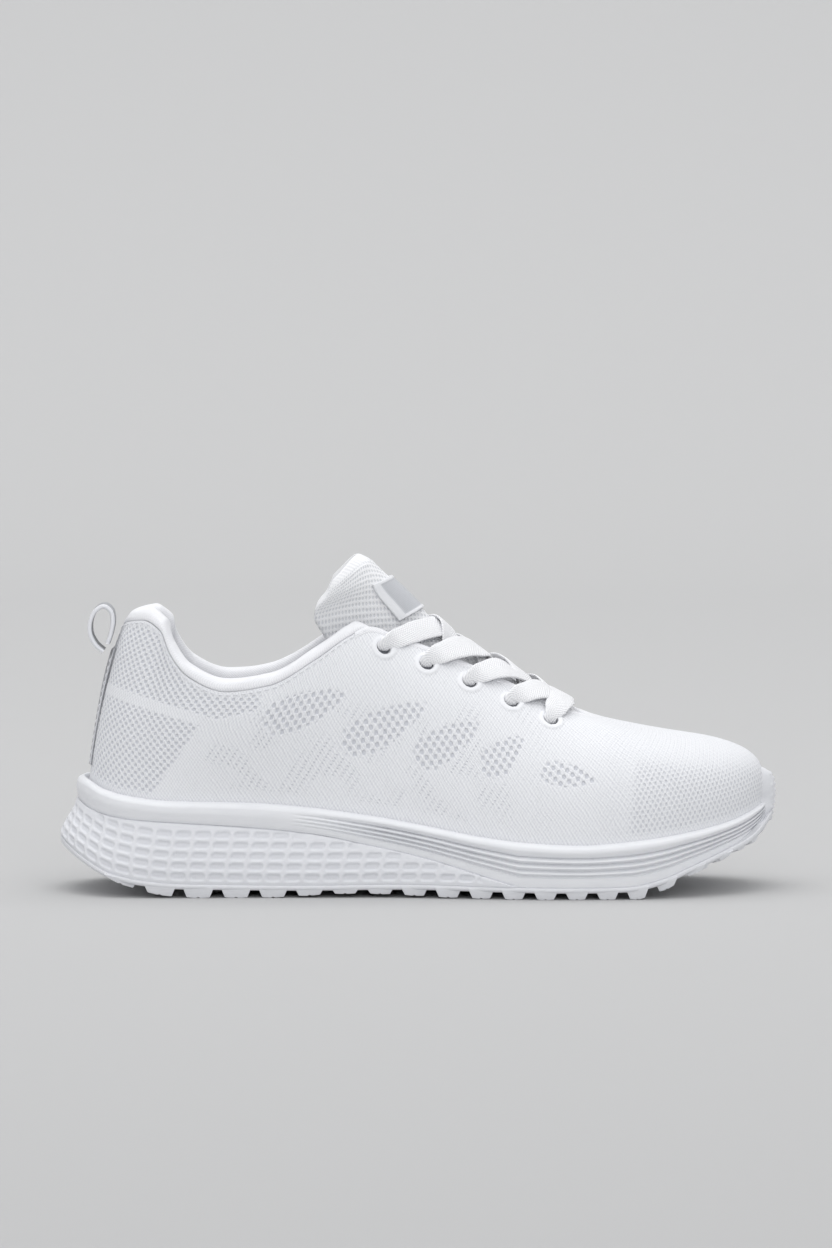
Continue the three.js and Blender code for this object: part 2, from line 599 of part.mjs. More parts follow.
const PIECES = [
  ["outsole", outsole, finish(0xe6e7ea, 0.55)],
  ["midsole_lower", midsoleLower, finish(0xeceef2, 0.7)],
  ["midsole_carrier", midsoleCarrier, WHITE_FOAM],
  ["strobel_board", () => board(-124.8, 128, 6.1, 0.4, 1.9), finish(0xdcdcd8, 0.95)],
  ["sockliner", () => board(-121.5, 125, 9, 2.2, 6.4), finish(0xd9dbe0, 0.9)],
  ["knit_upper", knitUpper, WHITE_KNIT],
  ["heel_counter", heelCounter, finish(0xd8d4c8, 0.6)],
  ["toe_puff", toePuff, finish(0xdcd9d0, 0.6)],
  ["collar_foam", collarFoam, finish(0xe9e4cf, 0.95)],
  ["collar_lining", collarLining, finish(0xe4e6ea, 0.9)],
  ["heel_strip", heelStrip, finish(0x9a9ca0, 0.45)],
  ["pull_tab", pullTab, finish(0xa2a4a8, 0.5)],
  ["eyestay_lateral", () => eyestay(-1), finish(0xe6e7ea, 0.8)],
  ["eyestay_medial", () => eyestay(1), finish(0xe6e7ea, 0.8)],
  ["tongue_cover_lower", () => tongueLayer(BASE_END, LOW_CUT, 1, ...COVER, 8), WHITE_KNIT],
  ["tongue_foam_lower", () => tongueLayer(() => 0.04, LOW_CUT, 0.94, ...CORE, 8), finish(0xe9e4cf, 0.95)],
  ["tongue_lining_lower", () => tongueLayer(BASE_END, LOW_CUT, 1, ...BACKING, 8), finish(0xe4e6ea, 0.9)],
  ["tongue_cover_flap", () => tongueLayer(HIGH_CUT, TOP_END, 1, ...COVER, 7), WHITE_KNIT],
  ["tongue_foam_flap", () => tongueLayer(HIGH_CUT, (q) => 0.95 - 0.06 * q ** 4, 0.88, ...FLAP_CORE, 7), finish(0xe9e4cf, 0.95)],
  ["tongue_lining_flap", () => tongueLayer(HIGH_CUT, TOP_END, 1, ...BACKING, 7), finish(0xe4e6ea, 0.9)],
  ["tongue_label", tongueLabel, finish(0xb4b6ba, 0.4)],
  ["lace", lace, finish(0xf2f3f6, 0.85)],
  ["aglet_lateral", () => aglet(-1), finish(0xf0f0f0, 0.3)],
  ["aglet_medial", () => aglet(1), finish(0xf0f0f0, 0.3)],
];

const group = new THREE.Group();
group.name = "running_shoe";
for (const [name, make, material] of PIECES) {
  const geometry = make();
  geometry.computeVertexNormals();
  const mesh = new THREE.Mesh(geometry, material.clone());
  mesh.name = name;
  group.add(mesh);
}
const box = new THREE.Box3().setFromObject(group);
const middle = box.getCenter(new THREE.Vector3());
for (const mesh of group.children) mesh.geometry.translate(-middle.x, -middle.y, -box.min.z);

export default group;
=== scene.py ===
import math

import bpy
import numpy as np
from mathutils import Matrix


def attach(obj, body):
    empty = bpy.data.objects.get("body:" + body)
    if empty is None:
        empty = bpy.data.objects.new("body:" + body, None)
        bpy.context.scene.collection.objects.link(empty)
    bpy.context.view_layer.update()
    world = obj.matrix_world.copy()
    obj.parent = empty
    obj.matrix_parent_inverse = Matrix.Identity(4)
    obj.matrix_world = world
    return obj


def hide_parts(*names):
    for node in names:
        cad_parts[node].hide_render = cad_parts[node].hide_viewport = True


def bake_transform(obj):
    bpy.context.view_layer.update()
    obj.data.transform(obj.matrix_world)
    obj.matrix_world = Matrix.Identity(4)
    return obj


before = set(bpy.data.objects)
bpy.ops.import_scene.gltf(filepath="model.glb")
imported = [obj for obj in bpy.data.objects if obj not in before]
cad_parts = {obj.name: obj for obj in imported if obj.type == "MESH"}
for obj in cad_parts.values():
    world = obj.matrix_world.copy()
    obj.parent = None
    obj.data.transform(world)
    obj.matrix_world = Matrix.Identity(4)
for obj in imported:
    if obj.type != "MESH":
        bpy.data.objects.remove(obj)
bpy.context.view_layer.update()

# ---- camera, backdrop and light ------------------------------------------------
# A seamless sheet of pale studio paper that curves up behind the shoe, one wide
# soft box overhead, weak fill from the front and a wash of light on the paper.


def linear(hex_value):
    parts = [int(hex_value[i : i + 2], 16) / 255 for i in (1, 3, 5)]
    return [c / 12.92 if c <= 0.04045 else ((c + 0.055) / 1.055) ** 2.4 for c in parts] + [1]


def add(tree, kind, settings=None, inputs=None):
    """Adds a node with its settings, and sets or links its inputs."""
    n = tree.nodes.new("ShaderNode" + kind)
    for key, value in (settings or {}).items():
        setattr(n, key, value)
    for key, value in (inputs or {}).items():
        if isinstance(value, bpy.types.NodeSocket):
            tree.links.new(value, n.inputs[key])
        else:
            n.inputs[key].default_value = value
    return n


def surface(name, color, roughness, ior=1.5, **fixed):
    """A new material with one Principled surface: (material, tree, surface node)."""
    made = bpy.data.materials.new(name)
    made.use_nodes = True
    tree = made.node_tree
    shader = next(n for n in tree.nodes if n.type == "BSDF_PRINCIPLED")
    shader.inputs["Base Color"].default_value = linear(color)
    shader.inputs["Roughness"].default_value = roughness
    shader.inputs["IOR"].default_value = ior
    for key, value in fixed.items():
        shader.inputs[key.replace("_", " ")].default_value = value
    made.diffuse_color = linear(color)
    return made, tree, shader


def emboss(tree, shader, height, strength, distance):
    """Bump from a height socket, on the surface's normal."""
    bump = add(tree, "Bump", None, {"Strength": strength, "Distance": distance, "Height": height})
    tree.links.new(bump.outputs["Normal"], shader.inputs["Normal"])


def build_mesh(name, points, faces, flat=None, smooth=True, layers=None):
    """A mesh piece from points in mm of the shoe's own tables, flat in mm as UV."""
    mesh = bpy.data.meshes.new(name)
    points = (np.asarray(points, float) - [0.3, 0.835, 0]) / 1000
    sizes = np.array([len(f) for f in faces]) if isinstance(faces, list) else np.full(len(faces),
        faces.shape[1])
    corners = np.concatenate([np.asarray(f) for f in faces]) if isinstance(faces, list) else faces.ravel()
    mesh.vertices.add(len(points))
    mesh.vertices.foreach_set("co", points.astype(np.float32).ravel())
    mesh.loops.add(len(corners))
    mesh.loops.foreach_set("vertex_index", corners.astype(np.int32))
    mesh.polygons.add(len(sizes))
    mesh.polygons.foreach_set("loop_start", np.r_[0, np.cumsum(sizes)[:-1]].astype(np.int32))
    mesh.polygons.foreach_set("use_smooth", np.full(len(sizes), smooth))
    mesh.update(calc_edges=True)
    if flat is not None:
        layer = mesh.uv_layers.new(name="UVMap")
        layer.data.foreach_set("uv", np.asarray(flat, float)[corners].astype(np.float32).ravel())
    for key, values in (layers or {}).items():
        mesh.attributes.new(key, "FLOAT", "POINT").data.foreach_set("value",
            values.astype(np.float32).ravel())
    mesh.validate()
    piece = bpy.data.objects.new(name, mesh)
    bpy.context.collection.objects.link(piece)
    return piece


paper, tree, shader = surface("studio_paper", "#BFBFBF", 0.95)
grain = add(tree, "TexNoise", None, {"Scale": 900.0, "Detail": 3.0})
emboss(tree, shader, grain.outputs["Fac"], 0.04, 0.001)
sweep = [(-4, 0)] + [(1.6 + 0.9 * math.sin(a), 0.9 - 0.9 * math.cos(a)) for a in np.linspace(0,
    math.pi / 2, 24)] + [(2.5, 6)]
backdrop = build_mesh(
    "backdrop",
    [(x * 1000, y * 1000, z * 1000) for y, z in sweep for x in (-6, 6)],
    [[2 * i, 2 * i + 1, 2 * i + 3, 2 * i + 2] for i in range(len(sweep) - 1)],
)
backdrop.data.materials.append(paper)

TILT = math.radians(4.2)
AIM = (-0.001, 0, 0.1015)
DISTANCE = 2.6
camera = bpy.data.objects.new("camera", bpy.data.cameras.new("camera"))
bpy.context.collection.objects.link(camera)
camera.data.sensor_width = 36
camera.data.lens = 36 * DISTANCE / 0.4795
camera.location = (AIM[0], -DISTANCE * math.cos(TILT), AIM[2] + DISTANCE * math.sin(TILT))
camera.rotation_euler = (math.pi / 2 - TILT, 0, 0)
bpy.context.scene.camera = camera

for place_at, turn, wide, deep, power, name in (
    ((-0.1, -0.15, 1.5), (0.1, -0.05, 0), 1.6, 1.4, 9.5, "overhead_box"),
    ((0.3, -2.6, 1.2), (1.2, 0, 0.1), 1.6, 1.2, 11, "front_fill"),
    ((0, 1.6, 3.2), (0.75, 0, 0), 4.0, 2.0, 60, "wall_wash"),
):
    lamp = bpy.data.objects.new(name, bpy.data.lights.new(name, "AREA"))
    lamp.data.shape = "RECTANGLE"
    lamp.data.size, lamp.data.size_y = wide, deep
    lamp.data.energy = power
    lamp.location, lamp.rotation_euler = place_at, turn
    bpy.context.collection.objects.link(lamp)
world = bpy.data.worlds.new("studio")
bpy.context.scene.world = world
world.use_nodes = True
world.node_tree.nodes["Background"].inputs["Color"].default_value = linear("#F7F8FA")
world.node_tree.nodes["Background"].inputs["Strength"].default_value = 0.75
bpy.context.scene.view_settings.view_transform = "Standard"

# ---- lace --------------------------------------------------------------------------
# One flat woven polyester lace, pulled snug over the tongue and under the knit
# edges from five eyelets a side. It lies on the upper along all its length.


def through(points):
    """Smooth curve through (x, value) points with no overshoot, level past both ends."""
    xs, ys = np.array(points, float).T
    rise = np.diff(ys) / np.diff(xs)
    a, b = np.r_[rise[0], rise], np.r_[rise, rise[-1]]
    slope = np.where(a * b <= 0, 0, 2 * a * b / np.where(a + b == 0, 1, a + b))

    def value(x):
        x = np.clip(np.asarray(x, float), xs[0], xs[-1])
        i = np.clip(np.searchsorted(xs, x, side="right") - 1, 0, len(xs) - 2)
        step = xs[i + 1] - xs[i]
        t = (x - xs[i]) / step
        s = t * t * (3 - 2 * t)
        bend = slope[i] * t * (1 - t) ** 2 + slope[i + 1] * (t - 1) * t * t
        return ys[i] * (1 - s) + ys[i + 1] * s + bend * step

    return value


def unit(v):
    return v / np.maximum(np.linalg.norm(v, axis=-1, keepdims=True), 1e-9)


feather = through([(-131, 43.6), (-127, 43), (-120, 40), (-112, 38.1), (-94, 36.2), (-63, 35.4),
    (-44, 34), (-19, 30.8), (3, 27), (25, 23), (40, 21.2), (62, 20.2), (84, 21.9), (106, 24.8),
    (121, 27.9), (134, 32.8)])
centre = through([(-138, 0), (-60, -1.5), (-20, -3.5), (20, -3), (55, 0), (105, 3), (138, 8)])
half_width = through([(-138, 36), (-100, 35.5), (-60, 33.5), (-20, 32.5), (20, 39), (55, 46), (80, 46.5),
    (105, 43.5), (138, 38)])
FLOOR_DROP = 7


def edge(k, x0, x1, inset, toe_cap=60):
    """Outline of the sole at k: 0 heel, 0 to 1 lateral side, 1 toe, 1 to 2 medial side."""
    k = np.asarray(k, float)
    x = x0 + (x1 - x0) * (1 - np.cos(np.pi * k)) / 2
    draw_in = inset(x) if callable(inset) else inset
    h = np.maximum(0, 1 - (x - x0) / 36)
    t = np.maximum(0, 1 - (x1 - x) / toe_cap)
    ends = np.maximum(0, 1 - h**2.2) ** 0.48 * np.maximum(0, 1 - t**2.2) ** 0.45
    side = np.where(np.sin(np.pi * k) >= 0, -1, 1)
    return np.stack([x, centre(x) + side * (half_width(x) - draw_in) * ends, np.zeros_like(x)], -1)


TOPLINE = [(0, -113.2, 0, 101.3), (0.07, -110.5, 10.5, 103.2), (0.13, -104.5, 17, 104),
    (0.18, -98.3, 21.5, 100.3), (0.215, -94.3, 25, 91.4), (0.25, -87.5, 28.5, 83.4),
    (0.3, -73, 31.5, 77.9), (0.35, -56.5, 31, 80.2), (0.4, -39, 27.5, 89.7), (0.44, -26, 23, 98.3),
    (0.465, -18, 19.5, 101.5), (0.49, -8.5, 17, 98.2), (0.54, 10, 15, 91.2), (0.6, 32, 14, 81.5),
    (0.66, 50, 12.5, 73), (0.74, 59, 9.5, 69), (0.86, 63.5, 5, 67.2), (1, 65, 0, 66.7)]
top_x, top_half, top_z = (through([(r[0], r[i]) for r in TOPLINE]) for i in (1, 2, 3))
top_shift = through([(0, 0), (0.35, -0.5), (0.48, 2), (0.6, 2), (1, 1.5)])
rise_long = through([(0, 24), (0.2, 22), (0.5, 24), (0.7, 26), (0.85, 31.5), (1, 38)])
rise_tilt = through([(0, -9), (0.12, -2), (0.25, 5), (0.4, 2), (0.5, 0), (0.65, 8), (0.85, 11), (1, 17)])
land_long = through([(0, 20), (0.25, 15), (0.4, 18), (0.5, 22), (0.66, 27), (0.8, 45), (1, 57)])
land_tilt = through([(0, 24), (0.25, 12), (0.4, 20), (0.5, 44), (0.6, 52), (0.7, 66), (0.8, 76), (1, 78)])


def foot_line(k):
    p = edge(k, -127.2, 130.4, 4)
    p[..., 2] = feather(p[..., 0]) - FLOOR_DROP + 0.4
    return p


def skin(k, v):
    """Outer face of the knit: v runs from 0 at the footbed to 1 at the top edge."""
    k, v = np.broadcast_arrays(np.asarray(k, float), np.asarray(v, float))
    f = 1 - abs(1 - k % 2)
    a = foot_line(k)
    side = np.where(np.sin(np.pi * k) >= 0, -1, 1)
    d = np.stack([top_x(f), top_shift(f) + side * top_half(f), top_z(f)], -1)
    run = foot_line(k + 0.004) - foot_line(k - 0.004)
    out = unit(np.stack([run[..., 1], -run[..., 0], 0 * k], -1))
    up = np.array([0, 0, 1.0])
    tilt = np.radians(rise_tilt(f))[..., None]
    b = a + rise_long(f)[..., None] * (out * np.sin(tilt) + up * np.cos(tilt))
    lead = unit((out * 12 + a - d) * [1, 1, 0])
    tilt = np.radians(land_tilt(f))[..., None]
    c = d + land_long(f)[..., None] * (lead * np.sin(tilt) - up * np.cos(tilt))
    v = v[..., None]
    return a * (1 - v) ** 3 + 3 * b * v * (1 - v) ** 2 + 3 * c * v * v * (1 - v) + d * v**3


def skin_normal(k, v):
    v = np.asarray(v, float)
    along = skin(k + 0.006, v) - skin(k - 0.006, v)
    return unit(np.cross(along, skin(k, np.minimum(v + 0.01, 1)) - skin(k, np.maximum(v - 0.01, 0))))


def wall_length(k):
    p = skin(np.asarray(k, float)[..., None], np.linspace(0, 1, 9))
    return np.linalg.norm(np.diff(p, axis=-2), axis=-1).sum(-1)


def on_wall(k, rise, d):
    """Point rise mm from the top edge along the wall and d mm off it."""
    k, rise, d = np.broadcast_arrays(*(np.asarray(a, float) for a in (k, rise, d)))
    v = np.clip(1 + rise / wall_length(k), 0, 1)
    up = unit(skin(k, 1.0 + 0 * v) - skin(k, 0.97 + 0 * v))
    return skin(k, v) + up * np.maximum(rise, 0)[..., None] + skin_normal(k, v) * d[..., None]


tongue_x = through([(0, 70), (0.15, 57), (0.3, 41), (0.45, 24), (0.6, 9.5), (0.7, 2), (0.8, -5.5),
    (0.9, -13.5), (1, -21.5)])
tongue_z = through([(0, 60.5), (0.15, 67), (0.3, 77.5), (0.45, 87.8), (0.6, 98.6), (0.7, 107.2),
    (0.8, 114.8), (0.9, 122), (1, 130.2)])
edge_back = through([(0, 1), (0.15, 2), (0.3, 4), (0.45, 8), (0.6, 16), (0.7, 31), (0.8, 31), (0.9, 19),
    (1, 6)])
edge_down = through([(0, 6), (0.15, 11), (0.3, 16), (0.45, 18.5), (0.6, 19), (0.7, 16), (0.8, 11),
    (0.9, 7), (1, 3.5)])
tongue_half = through([(0, 15), (0.3, 17), (0.55, 16.2), (0.66, 14.2), (0.75, 16), (0.88, 20.5), (1, 16.5)])


def tongue_face(s, q):
    """Front face of the tongue: s from its base to its top, q from edge to edge."""
    s, q = np.broadcast_arrays(np.asarray(s, float), np.asarray(q, float))
    shift = 1.5 + 0.5 * np.minimum(s / 0.5, 1)
    return np.stack([tongue_x(s) - edge_back(s) * q * q, shift + tongue_half(s) * q,
        tongue_z(s) - edge_down(s) * q * q], -1)


def tongue_normal(s, q):
    s, q = np.broadcast_arrays(np.asarray(s, float), np.asarray(q, float))
    along = tongue_face(np.minimum(s + 0.02, 1), q) - tongue_face(np.maximum(s - 0.02, 0), q)
    return -unit(np.cross(along, tongue_face(s, q + 0.02) - tongue_face(s, q - 0.02)))


def flow(stops, per):
    """Centripetal curve through points, with per samples to each stretch."""
    p = np.vstack([2 * stops[0] - stops[1], stops, 2 * stops[-1] - stops[-2]])
    out = []
    for i in range(1, len(p) - 2):
        t = np.r_[0, np.cumsum([max(np.linalg.norm(p[i + j] - p[i + j - 1]), 1e-6) ** 0.5 for j in range(3)])]
        u = np.linspace(t[1], t[2], per, endpoint=False)[:, None]
        a = [((t[j + 1] - u) * p[i - 1 + j] + (u - t[j]) * p[i + j]) / (t[j + 1] - t[j]) for j in range(3)]
        b = [((t[j + 2] - u) * a[j] + (u - t[j]) * a[j + 1]) / (t[j + 2] - t[j]) for j in range(2)]
        out.append(((t[2] - u) * b[0] + (u - t[1]) * b[1]) / (t[2] - t[1]))
    return np.vstack(out + [stops[-1:]])


def loft(name, loops, flat=None, looped=False, layers=None):
    """A closed piece from equal closed loops (n, m, 3), capped unless looped."""
    n, m = loops.shape[:2]
    r, j = np.meshgrid(np.arange(n if looped else n - 1), np.arange(m), indexing="ij")
    s, i = (r + 1) % n, (j + 1) % m
    quads = np.stack([r * m + j, r * m + i, s * m + i, s * m + j], -1).reshape(-1, 4)
    points = loops.reshape(-1, 3)
    a, b, c, d = (points[quads[:, q]] for q in range(4))
    if np.einsum("ij,ij->i", a + b + c + d, np.cross(c - a, d - b)).sum() < 0:
        quads = quads[:, ::-1]
    faces = quads
    if not looped:
        ends = [np.arange(m), np.arange(m) + (n - 1) * m]
        turned = (quads[0, 1] - quads[0, 0]) % m == 1
        faces = list(quads) + [ends[0][::-1] if turned else ends[0], ends[1] if turned else ends[1][::-1]]
    if flat is not None:
        flat = flat.reshape(-1, 2)
    layers = {key: value.reshape(-1) for key, value in (layers or {}).items()}
    return build_mesh(name, points, faces, flat, True, layers)


def run_length(p, axis):
    """Distance along an axis of a grid of points, starting at 0."""
    d = np.linalg.norm(np.diff(p, axis=axis), axis=-1)
    return np.concatenate([np.zeros_like(np.take(d, [0], axis)), np.cumsum(d, axis)], axis)


def mixed(tree, share, low, high):
    """Colour between low and high by share; each end is an sRGB hex value or a socket."""
    low, high = (linear(end) if isinstance(end, str) else end for end in (low, high))
    return add(tree, "Mix", {"data_type": "RGBA"}, {0: share, 6: low, 7: high}).outputs[2]


def paint(tree, shader, colour):
    tree.links.new(colour, shader.inputs["Base Color"])


def combine(tree, operation, *values):
    """One Math step on sockets or numbers."""
    return add(tree, "Math", {"operation": operation}, dict(enumerate(values))).outputs[0]


EYELETS = [0.477, 0.52, 0.563, 0.606, 0.649]
EYELET_DROP = [9, 9.2, 9.8, 10.8, 12]
tongue_at = through([(-21.5, 1), (-13.5, 0.9), (-5.5, 0.8), (2, 0.7), (9.5, 0.6), (24, 0.45), (41, 0.3),
    (57, 0.15), (70, 0)])


def eyelet(n, side):
    k = EYELETS[n] if side < 0 else 2 - EYELETS[n]
    v = 1 - EYELET_DROP[n] / wall_length(k)
    return k, skin(k, v), skin_normal(k, v)


# Slant of the crossing that ends at each eyelet, top eyelet first.
SLANT = [1, 1, 0.9, 0.75, 0.5]
# Shares of the way from the crest to an eyelet where a strand has a stop.
STRAND_STOPS = (0.27, 0.52, 0.77)
# Width, clearance and sideways lean of a strand. The top two are narrower and
# lower, to stay clear of the label when the tongue bends.
STRAND, TOP_STRAND = (11.4, 1.4, 0.35), (9.6, 0.9, 0.1)
NECK = 6.4
BAR = 0.19
BAR_LIFT = 3.8

# Points and normals of the knit by the throat and of the tongue, under the lace.
wall_spots = [(k, v) for k in np.linspace(0.4, 0.72, 60) for v in np.linspace(0.8, 1, 9)]
tongue_spots = [(s, q) for s in np.linspace(0, 1, 60) for q in np.linspace(-0.8, 0.8, 17)]
backed = [(skin(k, v), skin_normal(k, v)) for k, v in wall_spots]
backed += [(skin(2 - k, v), skin_normal(2 - k, v)) for k, v in wall_spots]
backed += [(tongue_face(s, q), tongue_normal(s, q)) for s, q in tongue_spots]
UNDER, UNDER_OUT = (np.array(a) for a in zip(*backed))


def taut(a, b, over, clear):
    """Stops of a strand pulled from a to b, bowed just enough to clear what lies under it."""
    t = np.linspace(0.12, 0.86, 9)[:, None]
    for bow in np.arange(0, 14, 0.25):
        run = a * (1 - t) + b * t + over * bow * np.sin(np.pi * t)
        near = np.linalg.norm(run[:, None] - UNDER, axis=-1).argmin(1)
        if (((run - UNDER[near]) * UNDER_OUT[near]).sum(-1) > clear).all():
            break
    t = np.array(STRAND_STOPS)[:, None]
    return a * (1 - t) + b * t + over * bow * np.sin(np.pi * t)


def lace_half(first, lift):
    """Stops of half the lace from its bottom bar to a hidden end: point, face, width, thickness."""
    stops = []
    side, face = first, 1
    for n in range(4, -1, -1):
        k, at, out = eyelet(n, side)
        down = unit(skin(k, 0.9) - skin(k, 1.0))
        if stops:
            start, top = stops[-1][0], stops[-1][1] * face
        else:
            top = tongue_normal(BAR, 0)
            start = tongue_face(BAR, 0) + top * BAR_LIFT
        enter = at + out * 0.7 - down * 1.0
        wide, clear, lean = STRAND if n else TOP_STRAND
        for share, place in zip(STRAND_STOPS, taut(start, enter, unit(top + out), clear)):
            faced = unit(top * (1 - share) + out * (share + lean))
            stops.append((place, faced * face, wide - (wide - NECK) * share**3, 1.2 + 0.3 * share))
        stops.append((enter, (out + down) * face, 5.4, 1.9))
        stops.append((at - out, down * face, 4.4, 2.1))
        stops.append((at - out * 3.2 - down * 0.9, (down - out) * face, 4.6, 2))
        if n == 0:
            break
        slant = SLANT[n - 1]
        stops.append((on_wall(k - side * 0.014 * slant, -5, -4.1), -out * face, 6.3, 1.3))
        stops.append((on_wall(k - side * 0.028 * slant, 0.2, -4.1), -out * face, 7.4, 1.3))
        x = eyelet(n - 1, -side)[1][0]
        crest = (0, 9 + 11 * slant, lift) if n > 1 else (0, 10.6 + 11 * slant, lift - 0.3)
        for q, ahead, rise in ((0.6 * side, 17.5 + 8 * slant, 1.8), crest):
            s = tongue_at(x + ahead + edge_back(tongue_at(x + ahead + 4)) * q * q)
            top = tongue_normal(s, q)
            stops.append((tongue_face(s, q) + top * rise, -top * face, 10.2, 1.2))
        side, face = -side, -face
    ahead = 1 if side < 0 else -1
    hidden_end = ((0.004, -14, -4.6, 6), (0.014, -21, -6.2, 5.5), (0.026, -28, -6.8, 4),
        (0.036, -34, -7, 2.6))
    for dk, rise, d, wide in hidden_end:
        stops.append((on_wall(k + ahead * dk, rise, d), -out * face, wide, 2 if wide < 5 else 1.3))
    return stops


up = tongue_normal(BAR, 0)
bar_middle = (tongue_face(BAR, 0) + up * BAR_LIFT, up, 9, 1.3)
lace_stops = lace_half(-1, 1.9)[::-1] + [bar_middle] + lace_half(1, 3.3)
PER = 9
line = flow(np.array([s[0] for s in lace_stops]), PER)
where = np.arange(len(line)) / PER
low = np.minimum(where.astype(int), len(lace_stops) - 2)
share = (where - low)[:, None]
share = share * share * (3 - 2 * share)
ups, sizes = np.array([s[1] for s in lace_stops]), np.array([s[2:] for s in lace_stops])
ups, sizes = (a[low] * (1 - share) + a[low + 1] * share for a in (ups, sizes))
tangent = unit(np.gradient(line, axis=0))
ups = unit(ups - tangent * (ups * tangent).sum(-1, keepdims=True))
across = np.cross(tangent, ups)
turn = np.linspace(0, 2 * np.pi, 28, endpoint=False)
flat_side = np.sign(np.cos(turn)) * abs(np.cos(turn)) ** 0.75
thick_side = np.sign(np.sin(turn)) * abs(np.sin(turn)) ** 0.55
loops = (line[:, None] + across[:, None] * (flat_side * sizes[:, :1] / 2)[..., None]
         - ups[:, None] * (thick_side * sizes[:, 1:] / 2)[..., None])
long = run_length(line, 0)
flat = np.stack(np.broadcast_arrays(long[:, None], flat_side * sizes[:, :1] / 2), -1)
lace = loft("lace", loops, flat)
# Woven polyester: a soft white with herringbone ribs 1.1 mm apart and a faint sheen.
made, tree, shader = surface("woven_polyester_lace", "#F1F2F5", 0.82, Sheen_Weight=0.25, Sheen_Roughness=0.4)
uv = add(tree, "SeparateXYZ", None, {0: add(tree, "UVMap").outputs[0]})
slant = combine(tree, "SUBTRACT", uv.outputs[0], combine(tree, "ABSOLUTE", uv.outputs[1]))
rib = combine(tree, "SINE", combine(tree, "MULTIPLY", slant, 5.7))
cross = combine(tree, "SINE", combine(tree, "MULTIPLY", uv.outputs[1], 7.5))
both = combine(tree, "MULTIPLY_ADD", cross, 0.45, rib)
tone = add(tree, "MapRange", None, {"Value": both, "From Min": -1.4, "From Max": 0.6})
mix = mixed(tree, tone.outputs[0], "#E7E8EC", "#FCFCFD")
paint(tree, shader, mix)
emboss(tree, shader, both, 0.5, 0.0002)
lace.data.materials.append(made)
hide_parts("lace")
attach(lace, "shoe")

# ---- aglets ------------------------------------------------------------------------
# Clear film tubes shrunk on the lace ends, tucked down inside the quarters.
made, tree, shader = surface("acetate_aglet", "#E9EAEC", 0.22, 1.49)
streaks = add(tree, "TexNoise", None, {"Scale": 220.0, "Detail": 2.0})
tone = mixed(tree, streaks.outputs["Fac"], "#DCDDDF", "#F0F1F3")
paint(tree, shader, tone)


def dress(name, finish):
    """Gives a CAD piece that stays in view its material."""
    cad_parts[name].data.materials.clear()
    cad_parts[name].data.materials.append(finish)


dress("aglet_lateral", made)
dress("aglet_medial", made)

# ---- outsole ----------------------------------------------------------------------
# Moulded white rubber: a thin sheet under the whole shoe with square lugs, carried
# up over the toe as a narrow shield with small nubs.

rim = through([(-137.5, 20.6), (-126, 13.4), (-117, 9), (-103, 6.3), (-90, 5.2), (-44, 4.6), (3, 5),
    (30, 4.6), (60, 4.3), (80, 4.7), (94, 7.6), (102, 10.8), (115, 16), (128, 21.6), (137, 30)])
tread = through([(-136.7, 18.2), (-122, 9.8), (-115, 6), (-103, 2.2), (-92, 0.4), (-84, 0), (-60, 0),
    (-25, 1.5), (20, 0.2), (40, 0), (82, 0), (94, 3), (102, 6.8), (115, 12), (121, 14.8), (128.6, 17.8),
    (136.5, 26.8)])
rubber_inset = through([(-137, -1.5), (-100, -3), (-60, -3), (-10, -1), (40, 0.4), (137, 0.6)])
RUBBER_ENDS = (-137.4, 137)


def sole_ring(k, x0, x1, inset, height, toe_cap=60):
    p = edge(k, x0, x1, inset, toe_cap)
    p[..., 2] = height(p[..., 0])
    return p


ks = np.linspace(0, 2, 240, endpoint=False)
sheet = loft("outsole", np.stack([
    sole_ring(ks, *RUBBER_ENDS, lambda x: rubber_inset(x) + 1.2, lambda x: rim(x) - 1.9),
    sole_ring(ks, *RUBBER_ENDS, lambda x: rubber_inset(x) + 0.4, lambda x: rim(x) - 1.7),
    sole_ring(ks, *RUBBER_ENDS, rubber_inset, lambda x: rim(x) - 1.2),
    sole_ring(ks, *RUBBER_ENDS, rubber_inset, lambda x: rim(x) - 0.3),
    sole_ring(ks, *RUBBER_ENDS, lambda x: rubber_inset(x) + 0.5, lambda x: rim(x) + 0.1),
    sole_ring(ks, *RUBBER_ENDS, lambda x: rubber_inset(x) + 2.2, lambda x: rim(x) + 0.2),
]))


def lug(points, faces, at, run, across, long, deep, foot, root):
    """Adds one lug, wider at its root, with a shallow notch across its foot."""
    base = len(points)
    for y in (0, deep):
        for x, lift in ((0, 0.2), (0.4, 0), (0.5, 0.4), (0.6, 0), (1, 0.2)):
            p = at + run * (0.4 + x * (long - 0.8)) + across * y
            points.append((p[0], p[1], float(foot(p[0])) + lift))
    for x, y in ((-1.2, -0.5), (long + 1.2, -0.5), (long + 1.2, deep + 0.5), (-1.2, deep + 0.5)):
        p = at + run * x + across * y
        points.append((p[0], p[1], float(root(p[0]))))
    faces += [[base + i for i in f] for f in ([0, 5, 6, 1], [1, 6, 7, 2], [2, 7, 8, 3], [3, 8, 9, 4],
        [0, 1, 2, 3, 4, 11, 10], [9, 8, 7, 6, 5, 13, 12], [0, 10, 13, 5], [4, 9, 12, 11],
        [10, 11, 12, 13])]


def pitch(x):
    return 15 + (x + 115) * (10.8 - 15) / 220


